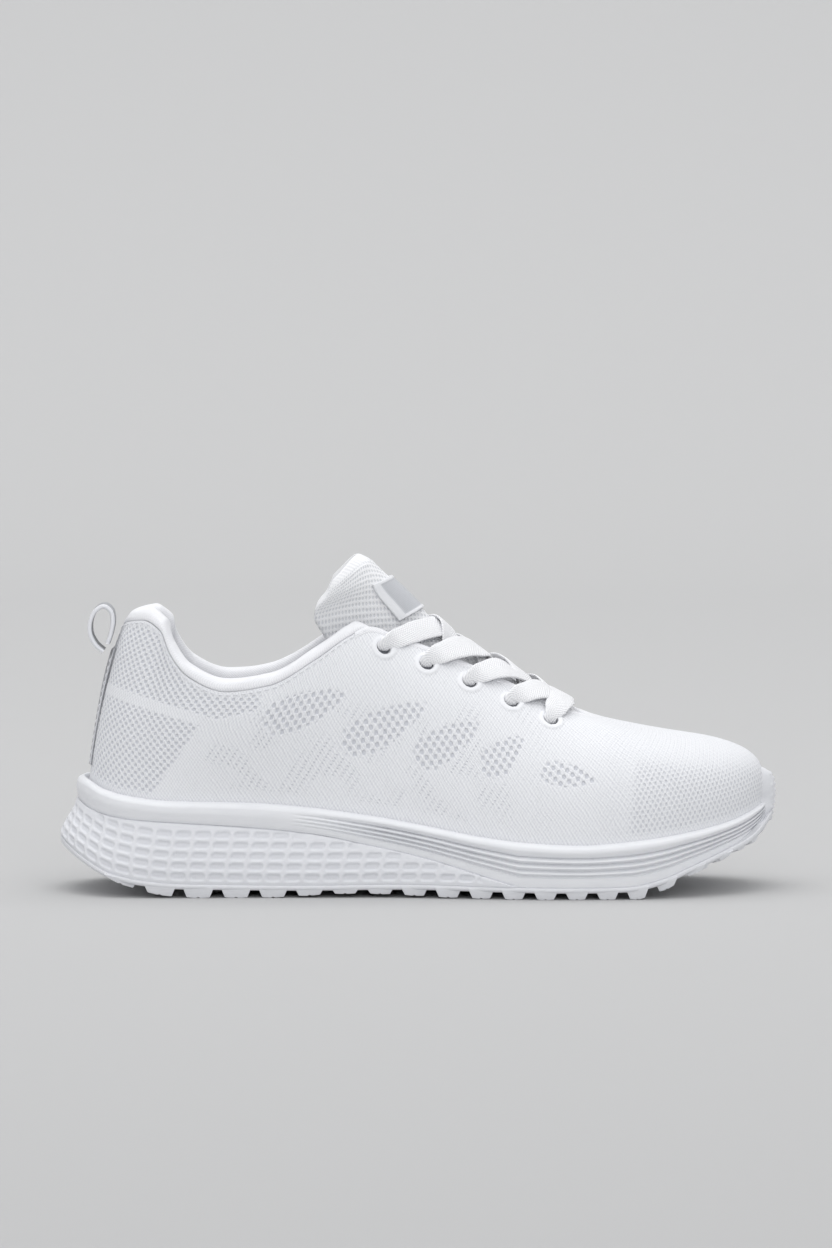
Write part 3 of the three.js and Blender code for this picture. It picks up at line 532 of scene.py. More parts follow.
short_at_toe = through([(84, 0), (100, 0.7), (116, 1.2)])
foot = lambda x: tread(x) + short_at_toe(x)
points, faces = [], []
x = -118.0
while x < 116:
    long = pitch(x) - 4.9
    k = math.acos(1 - 2 * (x + long / 2 - RUBBER_ENDS[0]) / (RUBBER_ENDS[1] - RUBBER_ENDS[0])) / math.pi
    low, high = (float(edge(t, *RUBBER_ENDS, rubber_inset)[1]) for t in (k, 2 - k))
    deep = min(13, (high - low) / 4)
    blocks = [(low + 0.6, low + deep), (high - deep, high - 0.6)]
    if high - low > 62:
        mid = (low + high) / 2
        blocks += [(mid - 12, mid - 2), (mid + 2, mid + 12)]
    for ya, yb in blocks:
        lug(points, faces, np.array([x, ya]), np.array([1, 0]), np.array([0, 1]), long, yb - ya, foot,
            lambda x: rim(x) - 0.7)
    x += pitch(x)
for k in np.r_[np.arange(0.792, 0.97, 0.034), 1, np.arange(1.038, 1.22, 0.034)]:
    at, ahead = (edge(t, *RUBBER_ENDS, rubber_inset)[:2] for t in (k, k + 0.002))
    run = unit(ahead - at)
    across = np.array([-run[1], run[0]])
    lug(points, faces, at + across * 0.6 - run * 2.1, run, across, 4.2, 4.5, lambda x: tread(x) + 0.9,
        lambda x: rim(x) - 0.7)
lugs = build_mesh("outsole_lugs", points, faces)
soften = lugs.modifiers.new("edges", "BEVEL")
soften.width, soften.segments, soften.limit_method = 0.0007, 3, "ANGLE"
lugs.data.shade_smooth()

out_at = through([(25.5, 1.6), (31, 2.5), (37, 3.0), (42, 2.3), (45.5, 1.0), (47, 0.4)])
heights = np.linspace(0, 0.6, 400)
toe_z = skin(1.0, heights)[:, 2]
t = np.linspace(-1, 1, 81)
shield = []
for z in np.linspace(25.5, 45.8, 60):
    reach = 0.024 * math.sqrt(1 - ((z - 25.5) / 20.7) ** 4)
    behind = edge(1 + reach * t, -131, 134.4, 0.6)
    share = float(np.clip((z - 32.5) / 3, 0, 1))
    behind = behind * (1 - share) + skin(1 + reach * t, np.interp(z, toe_z, heights)) * share
    behind[:, 0] -= 2.2 * math.exp(-(((z - 33.5) / 2.2) ** 2))
    nub = 0.6 * np.clip(1.6 * (np.cos((z - 26) * 2 * np.pi / 4.4) * np.cos(t * 3.5 * np.pi)) - 0.4, 0,
        1) * (abs(t) < 0.75)
    outer = edge(1 + reach * t, -131, 134.6 + float(out_at(z)) + nub, -float(out_at(z)))
    taper = (1 - np.maximum(0, (abs(t) - 0.3) / 0.7) ** 1.7) * (1 - max(0, (z - 42.5) / 3.4) ** 2)
    loop = np.concatenate([behind + (outer - behind) * (0.06 + 0.94 * taper[:, None]),
        (behind - [1.4, 0, 0])[::-1]])
    loop[:, 2] = z
    shield.append(loop)
shield = loft("outsole_toe_shield", np.array(shield))

# Moulded natural rubber: matte, faintly cool white, with fine mould grain.
rubber, tree, shader = surface("moulded_white_rubber", "#E4E5E8", 0.55, 1.52)
grain = add(tree, "TexNoise", None, {"Scale": 1400.0, "Detail": 4.0})
dust = add(tree, "TexNoise", None, {"Scale": 60.0, "Detail": 3.0})
tone = mixed(tree, dust.outputs["Fac"], "#DADBDF", "#EBECEF")
paint(tree, shader, tone)
emboss(tree, shader, grain.outputs["Fac"], 0.25, 0.0001)
for piece in (sheet, lugs, shield):
    piece.data.materials.append(rubber)
    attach(piece, "shoe")
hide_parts("outsole")

# ---- lower midsole ---------------------------------------------------------------------
# Expanded foam moulded under the heel and arch, its side covered in five rows of
# small rounded recesses that follow the bottom of the shoe.

parting = through([(-132, 35.6), (-123, 31.4), (-112, 29.4), (-94, 28.3), (-63, 26.2), (-41, 24),
    (-19, 19.8), (3, 15), (25, 8.5), (40, 4)])
CELL_PITCH, CELL_ROW = 7.3, 3.95
CELL_LONG, CELL_HIGH, CELL_DEEP = 5.6, 2.5, 0.65


def step(x, width):
    """Rises smoothly from 0 to 1 across x = 0."""
    t = np.clip(x / width + 0.5, 0, 1)
    return t * t * (3 - 2 * t)


ks = np.linspace(0, 2, 1500, endpoint=False)
profile_x = through([(0, -136.6), (0.08, -137.3), (0.4, -135.6), (0.75, -132.6), (1, -131)])
profile_share = through([(0, 1.0), (0.08, 1.0), (0.4, 0.8), (0.75, 0.35), (1, 0)])
profile_add = through([(0, 0.6), (0.06, 0.2), (0.3, 0), (0.75, 0.1), (0.96, 0.5), (1, 1.0)])
rows = []
for f in np.linspace(0, 1, 76):
    inset = lambda x: rubber_inset(x) * float(profile_share(f)) + float(profile_add(f))
    lower_top = lambda x: np.maximum(parting(x) + 0.1, rim(x) + 0.9)
    rows.append(sole_ring(ks, float(profile_x(f)), 48, inset,
        lambda x: (1 - f) * rim(x) + f * lower_top(x), 14))
grid = np.array(rows)
normal = unit(np.cross(np.roll(grid, -1, 1) - np.roll(grid, 1, 1), np.gradient(grid, axis=0)))
around = np.minimum(run_length(grid[30], 0), run_length(grid[30][::-1], 0)[::-1])
high = grid[..., 2] - rim(grid[..., 0])
lean = through([(0, 0.35), (40, 0.2), (110, 0.0)])(around)
u = around + lean * (high - 10)
column = (u / CELL_PITCH) % 1 * CELL_PITCH - CELL_PITCH / 2
row_at = ((high - 1.1) / CELL_ROW) % 1 * CELL_ROW - CELL_ROW / 2
cell_top = (np.floor((high - 1.1) / CELL_ROW) + 1) * CELL_ROW + 1.1
fits = step(parting(grid[..., 0]) - rim(grid[..., 0]) - cell_top + 0.9, 1.0) * (high > 1.1)
over_x, over_z = (np.maximum(abs(a) - b / 2 + 1.1, 0) for a, b in ((column, CELL_LONG), (row_at, CELL_HIGH)))
recess = step(1.1 - np.hypot(over_x, over_z), 1.1) * fits
front = step(37 - grid[..., 0], 6)
lower = loft("midsole_lower", grid - normal * (recess * front * CELL_DEEP)[..., None],
             np.stack(np.broadcast_arrays(around, high), -1), layers={"recess": recess * front})
# Expanded polyether foam: a soft cool white with a fine pebbled skin. The insides
# of the recesses are painted a little darker as painted shade.
foam, tree, shader = surface("pebbled_foam", "#E8EAF0", 0.62, 1.46, Sheen_Weight=0.08)
pebble = add(tree, "TexVoronoi", None, {"Scale": 1300.0})
cloud = add(tree, "TexNoise", None, {"Scale": 45.0, "Detail": 4.0})
tone = mixed(tree, cloud.outputs["Fac"], "#E4E5EA", "#F0F1F4")
# Painted shade: the recesses are darkened towards #D3D5DB.
inside = combine(tree, "MULTIPLY", add(tree, "Attribute", {"attribute_name": "recess"}).outputs["Fac"], 0.3)
recess_shade_tone = mixed(tree, inside, tone, "#D3D5DB")
paint(tree, shader, recess_shade_tone)
emboss(tree, shader, pebble.outputs["Distance"], 0.3, 0.00015)
lower.data.materials.append(foam)
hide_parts("midsole_lower")
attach(lower, "shoe")

# ---- midsole carrier ---------------------------------------------------------------------
# Smooth-skinned foam cup glued round the foot of the upper. It is a plain roll at
# the heel; from the arch forward three rounded ridges run below the roll.

RIDGES = [(0, 1.5), (0.03, 1.1), (0.14, 0.9), (0.23, 1.0), (0.265, 1.8), (0.3, 0.8), (0.34, 0.0),
    (0.38, 0.7), (0.41, 1.8), (0.44, 0.6), (0.485, -0.2), (0.53, 0.6), (0.56, 1.9), (0.59, 0.5),
    (0.635, -0.4), (0.68, 0.5), (0.71, 1.9), (0.74, 0.6), (0.79, -0.1), (0.86, -0.5), (0.93, -0.2),
    (0.97, 0.5), (1, 1.6)]
plain_roll = through([(0, 1.4), (0.05, 0.8), (0.14, 0.3), (0.3, -0.1), (0.55, -0.5), (0.78, -0.3),
    (0.9, 0.3), (0.96, 1.0), (1, 1.8)])
ridges = through(RIDGES)
ridge_share = through([(-48, 0), (-12, 1)])
ks = np.linspace(0, 2, 640, endpoint=False)
rows = []
for f in np.r_[0, 0.02, np.linspace(0.04, 0.97, 86), 0.985, 1]:
    inset = lambda x: plain_roll(f) * (1 - ridge_share(x)) + ridges(f) * ridge_share(x)
    base = lambda x: np.maximum(parting(x), rim(x)) + 0.05
    rows.append(sole_ring(ks, -131 + 0.4 * f + 0.8 * float(plain_roll(f)),
        134.6 - 0.8 * f - 0.6 * float(ridges(f)), inset, lambda x: (1 - f) * base(x) + f * feather(x)))
rows.append(sole_ring(ks, -128.5, 132.3, 2.6, lambda x: feather(x) + 0.4))
rows.append(sole_ring(ks, -127.9, 131.9, 3.2, lambda x: feather(x) + 0.2))
rows.append(sole_ring(ks, -127.7, 131.7, 3.5, lambda x: feather(x) - 0.8))
rows.append(sole_ring(ks, -127.6, 131, 3.6, lambda x: feather(x) - FLOOR_DROP))
grid = np.array(rows)
carrier = loft("midsole_carrier", grid)
# Smooth moulded foam skin: satin, cool white, with faint flow marks.
skin_foam, tree, shader = surface("smooth_skin_foam", "#E9EBF1", 0.5, 1.46)
cloud = add(tree, "TexNoise", None, {"Scale": 26.0, "Detail": 5.0, "Distortion": 0.6})
tone = mixed(tree, cloud.outputs["Fac"], "#E6E7EB", "#F2F3F5")
paint(tree, shader, tone)
grain = add(tree, "TexNoise", None, {"Scale": 1500.0, "Detail": 2.0})
emboss(tree, shader, grain.outputs["Fac"], 0.18, 0.0001)
carrier.data.materials.append(skin_foam)
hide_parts("midsole_carrier")
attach(carrier, "shoe")

# ---- strobel board and sockliner ---------------------------------------------------------
# A nonwoven board stitched to the foot of the upper, and on it a removable moulded
# foam footbed with a brushed mesh top, slightly dished.
board, tree, shader = surface("nonwoven_board", "#D9D8D2", 0.95)
fibre = add(tree, "TexNoise", None, {"Scale": 500.0, "Detail": 6.0})
tone = mixed(tree, fibre.outputs["Fac"], "#C6C4BC", "#E6E5E0")
paint(tree, shader, tone)
dress("strobel_board", board)

ks = np.linspace(0, 2, 300, endpoint=False)
base = lambda x: feather(x) - FLOOR_DROP
rows = [sole_ring(ks, -121.5, 125, 9.0, lambda x: base(x) + 2.2),
    sole_ring(ks, -121.8, 125.3, 8.7, lambda x: base(x) + 3.2),
    sole_ring(ks, -121.8, 125.3, 8.7, lambda x: base(x) + 5.6),
    sole_ring(ks, -121.2, 124.7, 9.3, lambda x: base(x) + 6.4)]
for share in np.linspace(0.06, 0.98, 24):
    p = sole_ring(ks, -121.2, 124.7, 9.3, lambda x: base(x) + 6.4)
    inner = p.copy()
    inner[:, 1] = centre(p[:, 0]) * share + p[:, 1] * (1 - share)
    inner[:, 0] = 2 + (p[:, 0] - 2) * (1 - 0.10 * share)
    inner[:, 2] = base(inner[:, 0]) + 6.4 - 1.3 * math.sin(share * math.pi / 2)
    rows.append(inner)
grid = np.array(rows)
sockliner = loft("sockliner", grid, grid[..., :2])
made, tree, shader = surface("brushed_mesh_footbed", "#D8DBE1", 0.9, Sheen_Weight=0.2)
uv = add(tree, "SeparateXYZ", None, {0: add(tree, "UVMap").outputs[0]})
a, b = (combine(tree, "SINE", combine(tree, "MULTIPLY", uv.outputs[i], 3.6)) for i in (0, 1))
weave = combine(tree, "MULTIPLY", a, b)
tone = add(tree, "MapRange", None, {"Value": weave, "From Min": -0.6, "From Max": 0.6})
mix = mixed(tree, tone.outputs[0], "#C2C5CD", "#E2E4E9")
paint(tree, shader, mix)
emboss(tree, shader, weave, 0.5, 0.0003)
sockliner.data.materials.append(made)
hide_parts("sockliner")
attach(sockliner, "shoe")

# ---- knit upper ------------------------------------------------------------------------------
# One piece of flat-knit polyester yarn drawn over the last: open mesh at the toe
# and heel, twill ribs at the quarter, lace stitches by the throat, fused eyelets.

KNIT = 1.5
COLUMNS, ROWS = 1150, 168
feet = foot_line(np.linspace(0, 2, 4001))
gone = run_length(feet, 0)
ks = np.interp(np.arange(COLUMNS) / COLUMNS * gone[-1], gone, np.linspace(0, 2, 4001))
vs = np.linspace(0, 1, ROWS)
grid = skin(ks[:, None], vs[None, :])
normal = unit(np.cross(np.roll(grid, -1, 0) - np.roll(grid, 1, 0), np.gradient(grid, axis=1)))
normal[:, -1] = normal[:, -2]
side_step = np.linalg.norm(np.roll(grid, -1, 0) - grid, axis=-1)
along = np.cumsum(side_step, 0)
split = np.searchsorted(ks, 1.0)
mid_a, mid_b = np.searchsorted(ks, 0.5), np.searchsorted(ks, 1.5)
along = np.where(np.arange(COLUMNS)[:, None] < split, along - along[mid_a], along[mid_b] - along)
tall = run_length(grid, 1)
x, z = grid[..., 0], grid[..., 2]


def leaf(x0, z0, long, wide, angle):
    """Share of a leaf-shaped patch of the side, wider behind than in front."""
    c, d = math.cos(math.radians(angle)), math.sin(math.radians(angle))
    a, b = (x - x0) * c + (z - z0) * d, (z - z0) * c - (x - x0) * d
    return step(1 - (a / long) ** 2 - (b / (wide * (1 - 0.4 * a / long))) ** 2, 1.0)


band_low = 78 - 0.282 * (x + 121)
upper_zone = step(z - np.maximum(band_low + 2.2, 66 + 0.25 * (x + 82)), 1.2) * step(-60 - x, 4)
lower_zone = step(band_low - 2.2 - z, 1.2) * step(-88 + (z - 58) * 0.7 - x, 1.5)
heel_holes = np.maximum(upper_zone, lower_zone) * step(tall - 9, 3)
vamp_holes = 0.35 * step(x - 70, 14) * step(tall - 9, 2) * step(wall_length(ks)[:, None] - tall - 6, 6)
toe_holes = step(x - 80 - (z - 30) * 0.12, 6) * step(52 - 0.1 * (x - 80) - z, 10) * step(tall - 9, 2)
lacework = sum(leaf(*patch) for patch in ((-43, 71.5, 17, 6.5, 20), (-13, 64.5, 18, 6.8, 27),
    (11, 58.5, 14.5, 6.2, 32), (32.5, 54, 10, 5.6, 42), (57, 46.5, 10.5, 4.4, -10)))
lacework = np.clip(lacework, 0, 1)
dots = step(x + 84, 6) * step(40 - x, 50) * step(tall - 12,
    3) * (1 - lacework) * (1 - heel_holes) * step(72 - z, 6)
rib = step(x + 80, 8) * step(80 - x, 8) * (1 - heel_holes) * (1 - toe_holes)
ring, bore = np.zeros_like(x), np.zeros_like(x)
for n in range(5):
    for side in (-1, 1):
        k, at, out = eyelet(n, side)
        far = np.linalg.norm(grid - at, axis=-1)
        ring = np.maximum(ring, step(4.9 - far, 0.45))
        bore = np.maximum(bore, step(2.75 - far, 0.5))
plain = (1 - ring) * step(wall_length(ks)[:, None] - tall - 2.2, 1.5)
heel_wave = np.cos(2 * np.pi * along / 3.1) * np.cos(2 * np.pi * tall / 2.9)
toe_wave = np.cos(2 * np.pi * along / 2.2) * np.cos(2 * np.pi * tall / 3.5)
lace_wave = np.cos(2 * np.pi * along / 3.5) * np.cos(2 * np.pi * (tall - 0.3 * along) / 4.6)
sunk = (heel_holes * step(heel_wave - 0.3, 0.7) * 0.25 + toe_holes * step(toe_wave - 0.4, 0.7) * 0.2
        + lacework * step(lace_wave - 0.2, 0.7) * 0.35) * plain
ripple = 0.01 * rib * plain * np.cos(2 * np.pi * (along + 0.8 * tall) / 2.6)
drape = 0.35 * np.sin(along / 17 + 1.3 * np.sin(tall / 14)) * np.sin(tall / 11 + along / 43) * step(tall
    - 16, 12) * step(wall_length(ks)[:, None] - tall - 8, 8)
raised = ring * 0.42 * step(abs(ring - bore) - 0.1, 0.3) - bore * 1.3
outer = grid + normal * (ripple - sunk + drape * 0.6 + raised)[..., None]
coarse = np.linspace(1, 0, 26)
inner_grid = skin(ks[:, None], coarse[None, :])
inner = inner_grid + skin_normal(ks[:, None], coarse[None, :]) * -KNIT
rows = np.concatenate([outer, outer[:, -1:] - normal[:, -1:] * 0.2 + [0, 0, 0.12], inner], 1)
blank = np.zeros((COLUMNS, 27))
flat = np.stack([np.concatenate([along, np.repeat(along[:, -1:], 27, 1)], 1),
                 np.concatenate([tall, tall[:, -1:] + np.cumsum(np.ones((1, 27)) * 3, 1)], 1)], -1)
layers = {key: np.concatenate([value, blank], 1) for key,
    value in (("heel", heel_holes * plain), ("toe", np.maximum(toe_holes, vamp_holes) * plain),
    ("lacework", lacework * plain), ("dots", dots * plain), ("rib", rib * plain), ("ring", ring),
    ("bore", bore))}
knit = loft("knit_upper", rows, flat, looped=True, layers=layers)

# Knitted polyester yarn: bright matte white, with stitches 1.3 by 1.9 mm, a little
# coarser than real so that they show. Holes, open-work and dots are painted cool
# grey as painted shade, and the eyelet bores dark grey as painted shadow.
made, tree, shader = surface("knitted_polyester", "#EFF0F4", 0.9, Sheen_Weight=0.18, Sheen_Roughness=0.5)
uv = add(tree, "SeparateXYZ", None, {0: add(tree, "UVMap").outputs[0]})
U, V = uv.outputs[0], uv.outputs[1]


def wave(tree, value, length):
    return combine(tree, "COSINE", combine(tree, "MULTIPLY", value, 2 * math.pi / length))


def cloth_noise(tree, scale, detail):
    """Noise in mm of the cloth itself."""
    uv = add(tree, "UVMap").outputs[0]
    return add(tree, "TexNoise", None, {"Scale": scale, "Detail": detail, "Vector": uv}).outputs["Fac"]


def layer(tree, name):
    return add(tree, "Attribute", {"attribute_name": name}).outputs["Fac"]


def ramp(tree, value, low, high, to_low=0.0, to_high=1.0):
    return add(tree, "MapRange", {"interpolation_type": "SMOOTHSTEP"}, {
        "Value": value, "From Min": low, "From Max": high, "To Min": to_low, "To Max": to_high}).outputs[0]


warp = cloth_noise(tree, 0.12, 2.0)
wander = combine(tree, "MULTIPLY", combine(tree, "SUBTRACT", warp, 0.5), 1.6)
U2 = combine(tree, "ADD", U, wander)
V2 = combine(tree, "ADD", V, wander)
stitch = combine(tree, "MULTIPLY", wave(tree, U2, 1.3), wave(tree, V2, 1.9))
lattice = combine(tree, "MULTIPLY", wave(tree, U, 3.1), wave(tree, V, 2.9))
heel_open = combine(tree, "MULTIPLY", ramp(tree, lattice, 0.05, 0.5), layer(tree, "heel"))
lattice = combine(tree, "MULTIPLY", wave(tree, U, 2.2), wave(tree, V, 3.5))
toe_open = combine(tree, "MULTIPLY", ramp(tree, lattice, 0.15, 0.6), layer(tree, "toe"))
holes = combine(tree, "MAXIMUM", heel_open, combine(tree, "MULTIPLY", toe_open, 0.8))
slope = combine(tree, "SUBTRACT", V, combine(tree, "MULTIPLY", U, 0.3))
diamond = combine(tree, "MULTIPLY", wave(tree, U, 3.5), wave(tree, slope, 4.6))
ragged = cloth_noise(tree, 0.35, 1.0)
edge_share = ramp(tree, combine(tree, "ADD", layer(tree, "lacework"),
    combine(tree, "SUBTRACT", ragged, 0.5)), 0.35, 0.75)
open_work = combine(tree, "MULTIPLY", ramp(tree, diamond, 0.05, 0.55), edge_share)
spots = combine(tree, "MULTIPLY", wave(tree, combine(tree, "ADD", U2, combine(tree, "MULTIPLY", V2, 0.5)),
    3.1), wave(tree, V2, 2.7))
patchy = ramp(tree, cloth_noise(tree, 0.07, 1.0), 0.45, 0.6)
spots = combine(tree, "MULTIPLY", combine(tree, "MULTIPLY", ramp(tree, spots, 0.6, 0.9), patchy),
    layer(tree, "dots"))
twill = combine(tree, "MULTIPLY", combine(tree, "MULTIPLY",
    wave(tree, combine(tree, "ADD", U2, combine(tree, "MULTIPLY", V2, 0.5)), 1.7), 0.4),
    layer(tree, "rib"))
dark = combine(tree, "MAXIMUM", combine(tree, "MAXIMUM", holes, open_work), spots)
fuzz = cloth_noise(tree, 2.2, 4.0)
yarn = ramp(tree, combine(tree, "ADD", combine(tree, "MULTIPLY", stitch, 0.6),
    combine(tree, "ADD", twill, fuzz)), -1.0, 1.6)
base = mixed(tree, yarn, "#DFE0E5", "#F4F5F7")
# Painted shade: holes, open-work and dots are darkened towards cool grey.
hole_shade_tone = mixed(tree, combine(tree, "MULTIPLY", dark, 0.85), base, "#CFD1D8")
fused = mixed(tree, layer(tree, "ring"), hole_shade_tone, "#F1F2F5")
# Painted shadow: the eyelet bores are darkened to dark grey.
final = mixed(tree, layer(tree, "bore"), fused, "#5E6067")
paint(tree, shader, final)
gloss = ramp(tree, layer(tree, "ring"), 0.0, 1.0, 0.9, 0.55)
tree.links.new(gloss, shader.inputs["Roughness"])
relief = combine(tree, "SUBTRACT", combine(tree, "ADD", combine(tree, "MULTIPLY", stitch, 0.35),
    combine(tree, "MULTIPLY", twill, 0.15)), combine(tree, "MULTIPLY", dark, 1.0))
relief = combine(tree, "ADD", combine(tree, "MULTIPLY", fuzz, 0.5), relief)
relief = combine(tree, "MULTIPLY", relief, combine(tree, "SUBTRACT", 1.0, layer(tree, "ring")))
emboss(tree, shader, relief, 0.7, 0.0003)
knit.data.materials.append(made)
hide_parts("knit_upper")
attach(knit, "shoe")

# ---- hidden stiffeners ------------------------------------------------------------------------
# Thermoplastic heel counter and toe puff and the fused tapes behind the eyelets,
# all between the knit and the lining.
stiff, tree, shader = surface("moulded_counter_board", "#D6D2C6", 0.65)
fibre = add(tree, "TexNoise", None, {"Scale": 380.0, "Detail": 5.0})
tone = mixed(tree, fibre.outputs["Fac"], "#C5C0B2", "#E3E0D6")
paint(tree, shader, tone)
tape, tree, shader = surface("fused_backing_tape", "#E6E7EB", 0.7)
fibre = add(tree, "TexNoise", None, {"Scale": 800.0, "Detail": 3.0})
tone = mixed(tree, fibre.outputs["Fac"], "#D8D9DD", "#F0F1F4")
paint(tree, shader, tone)
dress("heel_counter", stiff)
dress("toe_puff", stiff)
dress("eyestay_lateral", tape)
dress("eyestay_medial", tape)

# ---- collar --------------------------------------------------------------------------------------
# Open-cell foam rolled into a smooth knit binding, stitched to the outer knit just
# below the top and carried down inside the heel as the lining.

roll_share = through([(0.33, 1), (0.45, 0.4)])
ks = np.linspace(-0.474, 0.474, 440)
face = [(0.2, -0.5), (0.6, 0.05), (1.8, 0.25), (3.6, -0.3), (5.3, -2.2), (5.9, -4.4), (5.2, -6.8),
    (2.6, -8.7), (-5, -9.3), (-13, -7.3), (-20, -4.9)]


def roll_point(k, rise, d):
    return on_wall(k, rise, np.where(d < -1.5, -1.5 + (d + 1.5) * roll_share(abs(k)), d))


low = -wall_length(ks) + 11
outer = [roll_point(ks, r, d) for r, d in face] + [roll_point(ks, (low - 20) / 2, -4.5),
    roll_point(ks, low, -4.5)]
inner = [roll_point(ks, low, -3.6), roll_point(ks, (low - 20) / 2, -3.5), roll_point(ks, -20, -3.7),
    roll_point(ks, -5, -6.5), roll_point(ks, 1.0, -5.5), roll_point(ks, 2.0, -2.4),
    roll_point(ks, 0.3, -1.0)]
section = np.stack(outer + inner, 1)
keep = (1 - 0.85 * step(abs(ks) - 0.46, 0.028))[:, None, None]
section = roll_point(ks, -1.2, -1.4)[:, None] * (1 - keep) + section * keep
dense = np.stack([flow(np.vstack([s, s[:1]]), 6)[:-1] for s in section])
across, up_run = run_length(dense, 0), run_length(dense, 1)
band = step(9 - up_run, 2)
pucker = 0.22 * np.sin(across / 3.1) * step(up_run - 1, 1.5) * step(8 - up_run,
    3) + 0.5 * np.sin(across / 13 + 0.7) * np.sin(up_run / 9) * step(up_run - 8, 6) * step(60 - up_run,
    30)
normal = unit(np.cross(np.gradient(dense, axis=0), np.roll(dense, -1, 1) - np.roll(dense, 1, 1)))
collar = loft("collar_lining", dense + normal * (pucker * 0.6)[..., None], np.stack([across, up_run], -1),
    layers={"band": band})
# Brushed polyester knit: very fine, soft and matte, with a faint nap.
made, tree, shader = surface("brushed_polyester_lining", "#E9EAEF", 0.92, Sheen_Weight=0.3,
    Sheen_Roughness=0.35)
uv = add(tree, "SeparateXYZ", None, {0: add(tree, "UVMap").outputs[0]})
fine = combine(tree, "MULTIPLY", wave(tree, uv.outputs[0], 1.0), wave(tree, uv.outputs[1], 1.0))
nap = cloth_noise(tree, 1.2, 4.0)
tone = ramp(tree, combine(tree, "ADD", combine(tree, "MULTIPLY", fine, 0.4), nap), -0.2, 1.1)
mix = mixed(tree, tone, "#E3E4E8", "#F9F9FB")
paint(tree, shader, mix)
emboss(tree, shader, combine(tree, "ADD", fine, nap), 0.25, 0.0002)
collar.data.materials.append(made)
lining = made
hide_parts("collar_lining", "collar_foam")
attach(collar, "shoe")


def stitches(name, line, up, long=2.1, gap=0.9, thick=0.38):
    """A row of thread stitches along a line of points, each a small bent capsule."""
    gone = run_length(line, 0)
    points, faces = [], []
    turn = np.linspace(0, 2 * np.pi, 8, endpoint=False)
    for start in np.arange(0.3, gone[-1] - long, long + gap):
        t = start + long * np.linspace(0, 1, 7)
        at = np.stack([np.interp(t, gone, line[:, i]) for i in range(3)], -1)
        lift = np.stack([np.interp(t, gone, up[:, i]) for i in range(3)], -1)
        bow = np.sin(np.linspace(0, np.pi, 7))[:, None]
        run = unit(np.gradient(at, axis=0))
        wide = np.cross(run, lift)
        loops = (at + lift * (bow - 0.6) * 0.35)[:,
            None] + (wide[:, None] * np.cos(turn)[:, None] + lift[:, None]
            * np.sin(turn)[:, None]) * (thick / 2 * (0.45 + 0.55 * bow))[:, None]
        base = len(points) * 8
        points += list(loops)
        faces += [[base + r * 8 + j, base + r * 8 + (j + 1) % 8, base + r * 8 + 8 + (j + 1) % 8,
            base + r * 8 + 8 + j] for r in range(6) for j in range(8)]
        faces += [[base + j for j in range(7, -1, -1)], [base + 48 + j for j in range(8)]]
    return build_mesh(name, np.concatenate(points), faces)


ks = np.linspace(0.446, 1.554, 900)
around_edge = [(-2.8, 0.0), (-2.3, 0.2), (-0.6, 0.25), (0.4, 0.0), (0.7, -0.7), (0.4, -1.5),
    (-0.6, -1.95), (-2.3, -1.85), (-2.8, -1.5)]
section = np.stack([on_wall(ks, rise, d) for rise, d in around_edge], 1)
dense = np.stack([flow(np.vstack([s, s[:1]]), 4)[:-1] for s in section])
binding = loft("throat_binding", dense, np.stack([run_length(dense, 0), run_length(dense, 1)], -1))
binding.data.materials.append(lining)
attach(binding, "shoe")

thread, tree, shader = surface("sewing_thread", "#EDEEF1", 0.7, Sheen_Weight=0.2)
ply = add(tree, "TexNoise", None, {"Scale": 2500.0, "Detail": 2.0})
tone = mixed(tree, ply.outputs["Fac"], "#D5D6DB", "#F6F7F9")
paint(tree, shader, tone)
ks = np.linspace(-0.462, 0.462, 600)
seam = stitches("collar_stitches", on_wall(ks, -1.3, 0.15), skin_normal(ks, 0.98 + 0 * ks))
seam.data.materials.append(thread)
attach(seam, "shoe")

# ---- heel strip and pull loop ----------------------------------------------------------------------
# Reflective woven tape sewn down the back seam, and a loop of the same webbing
# folded at the top of the heel, which bends back when it is pulled.

reflective, tree, shader = surface("reflective_woven_tape", "#A0A2A7", 0.42, Sheen_Weight=0.1)
uv = add(tree, "SeparateXYZ", None, {0: add(tree, "UVMap").outputs[0]})
weft = combine(tree, "MULTIPLY", wave(tree, uv.outputs[0], 0.9), wave(tree, uv.outputs[1], 0.9))
speck = cloth_noise(tree, 3.5, 3.0)
tone = ramp(tree, combine(tree, "ADD", combine(tree, "MULTIPLY", weft, 0.3), speck), 0.1, 0.9)
grey = mixed(tree, tone, "#7C7E84", "#BFC1C5")
hem = mixed(tree, layer(tree, "hem"), grey, "#EEEFF3")
paint(tree, shader, hem)
emboss(tree, shader, weft, 0.5, 0.0002)

ks, vs = np.linspace(-0.034, 0.034, 41), np.linspace(0.165, 0.83, 110)
grid = skin(ks[:, None], vs[None, :])
out = skin_normal(ks[:, None], vs[None, :])
crown = 0.95 - 0.4 * abs(ks / 0.034)[:, None] ** 6
loops = np.concatenate([grid + out * crown[..., None], (grid + out * 0.05)[:, ::-1]], 1)
wide = np.linspace(-7, 7, 41)
flat = np.stack(np.broadcast_arrays(wide[:, None], np.r_[vs, vs[::-1]][None] * 90), -1)
hem_at = np.repeat(step(abs(wide) - 5.6, 0.5)[:, None] * step(6.7 - abs(wide), 0.3)[:, None], 220, 1)
strip = loft("heel_strip", loops, flat, layers={"hem": hem_at})

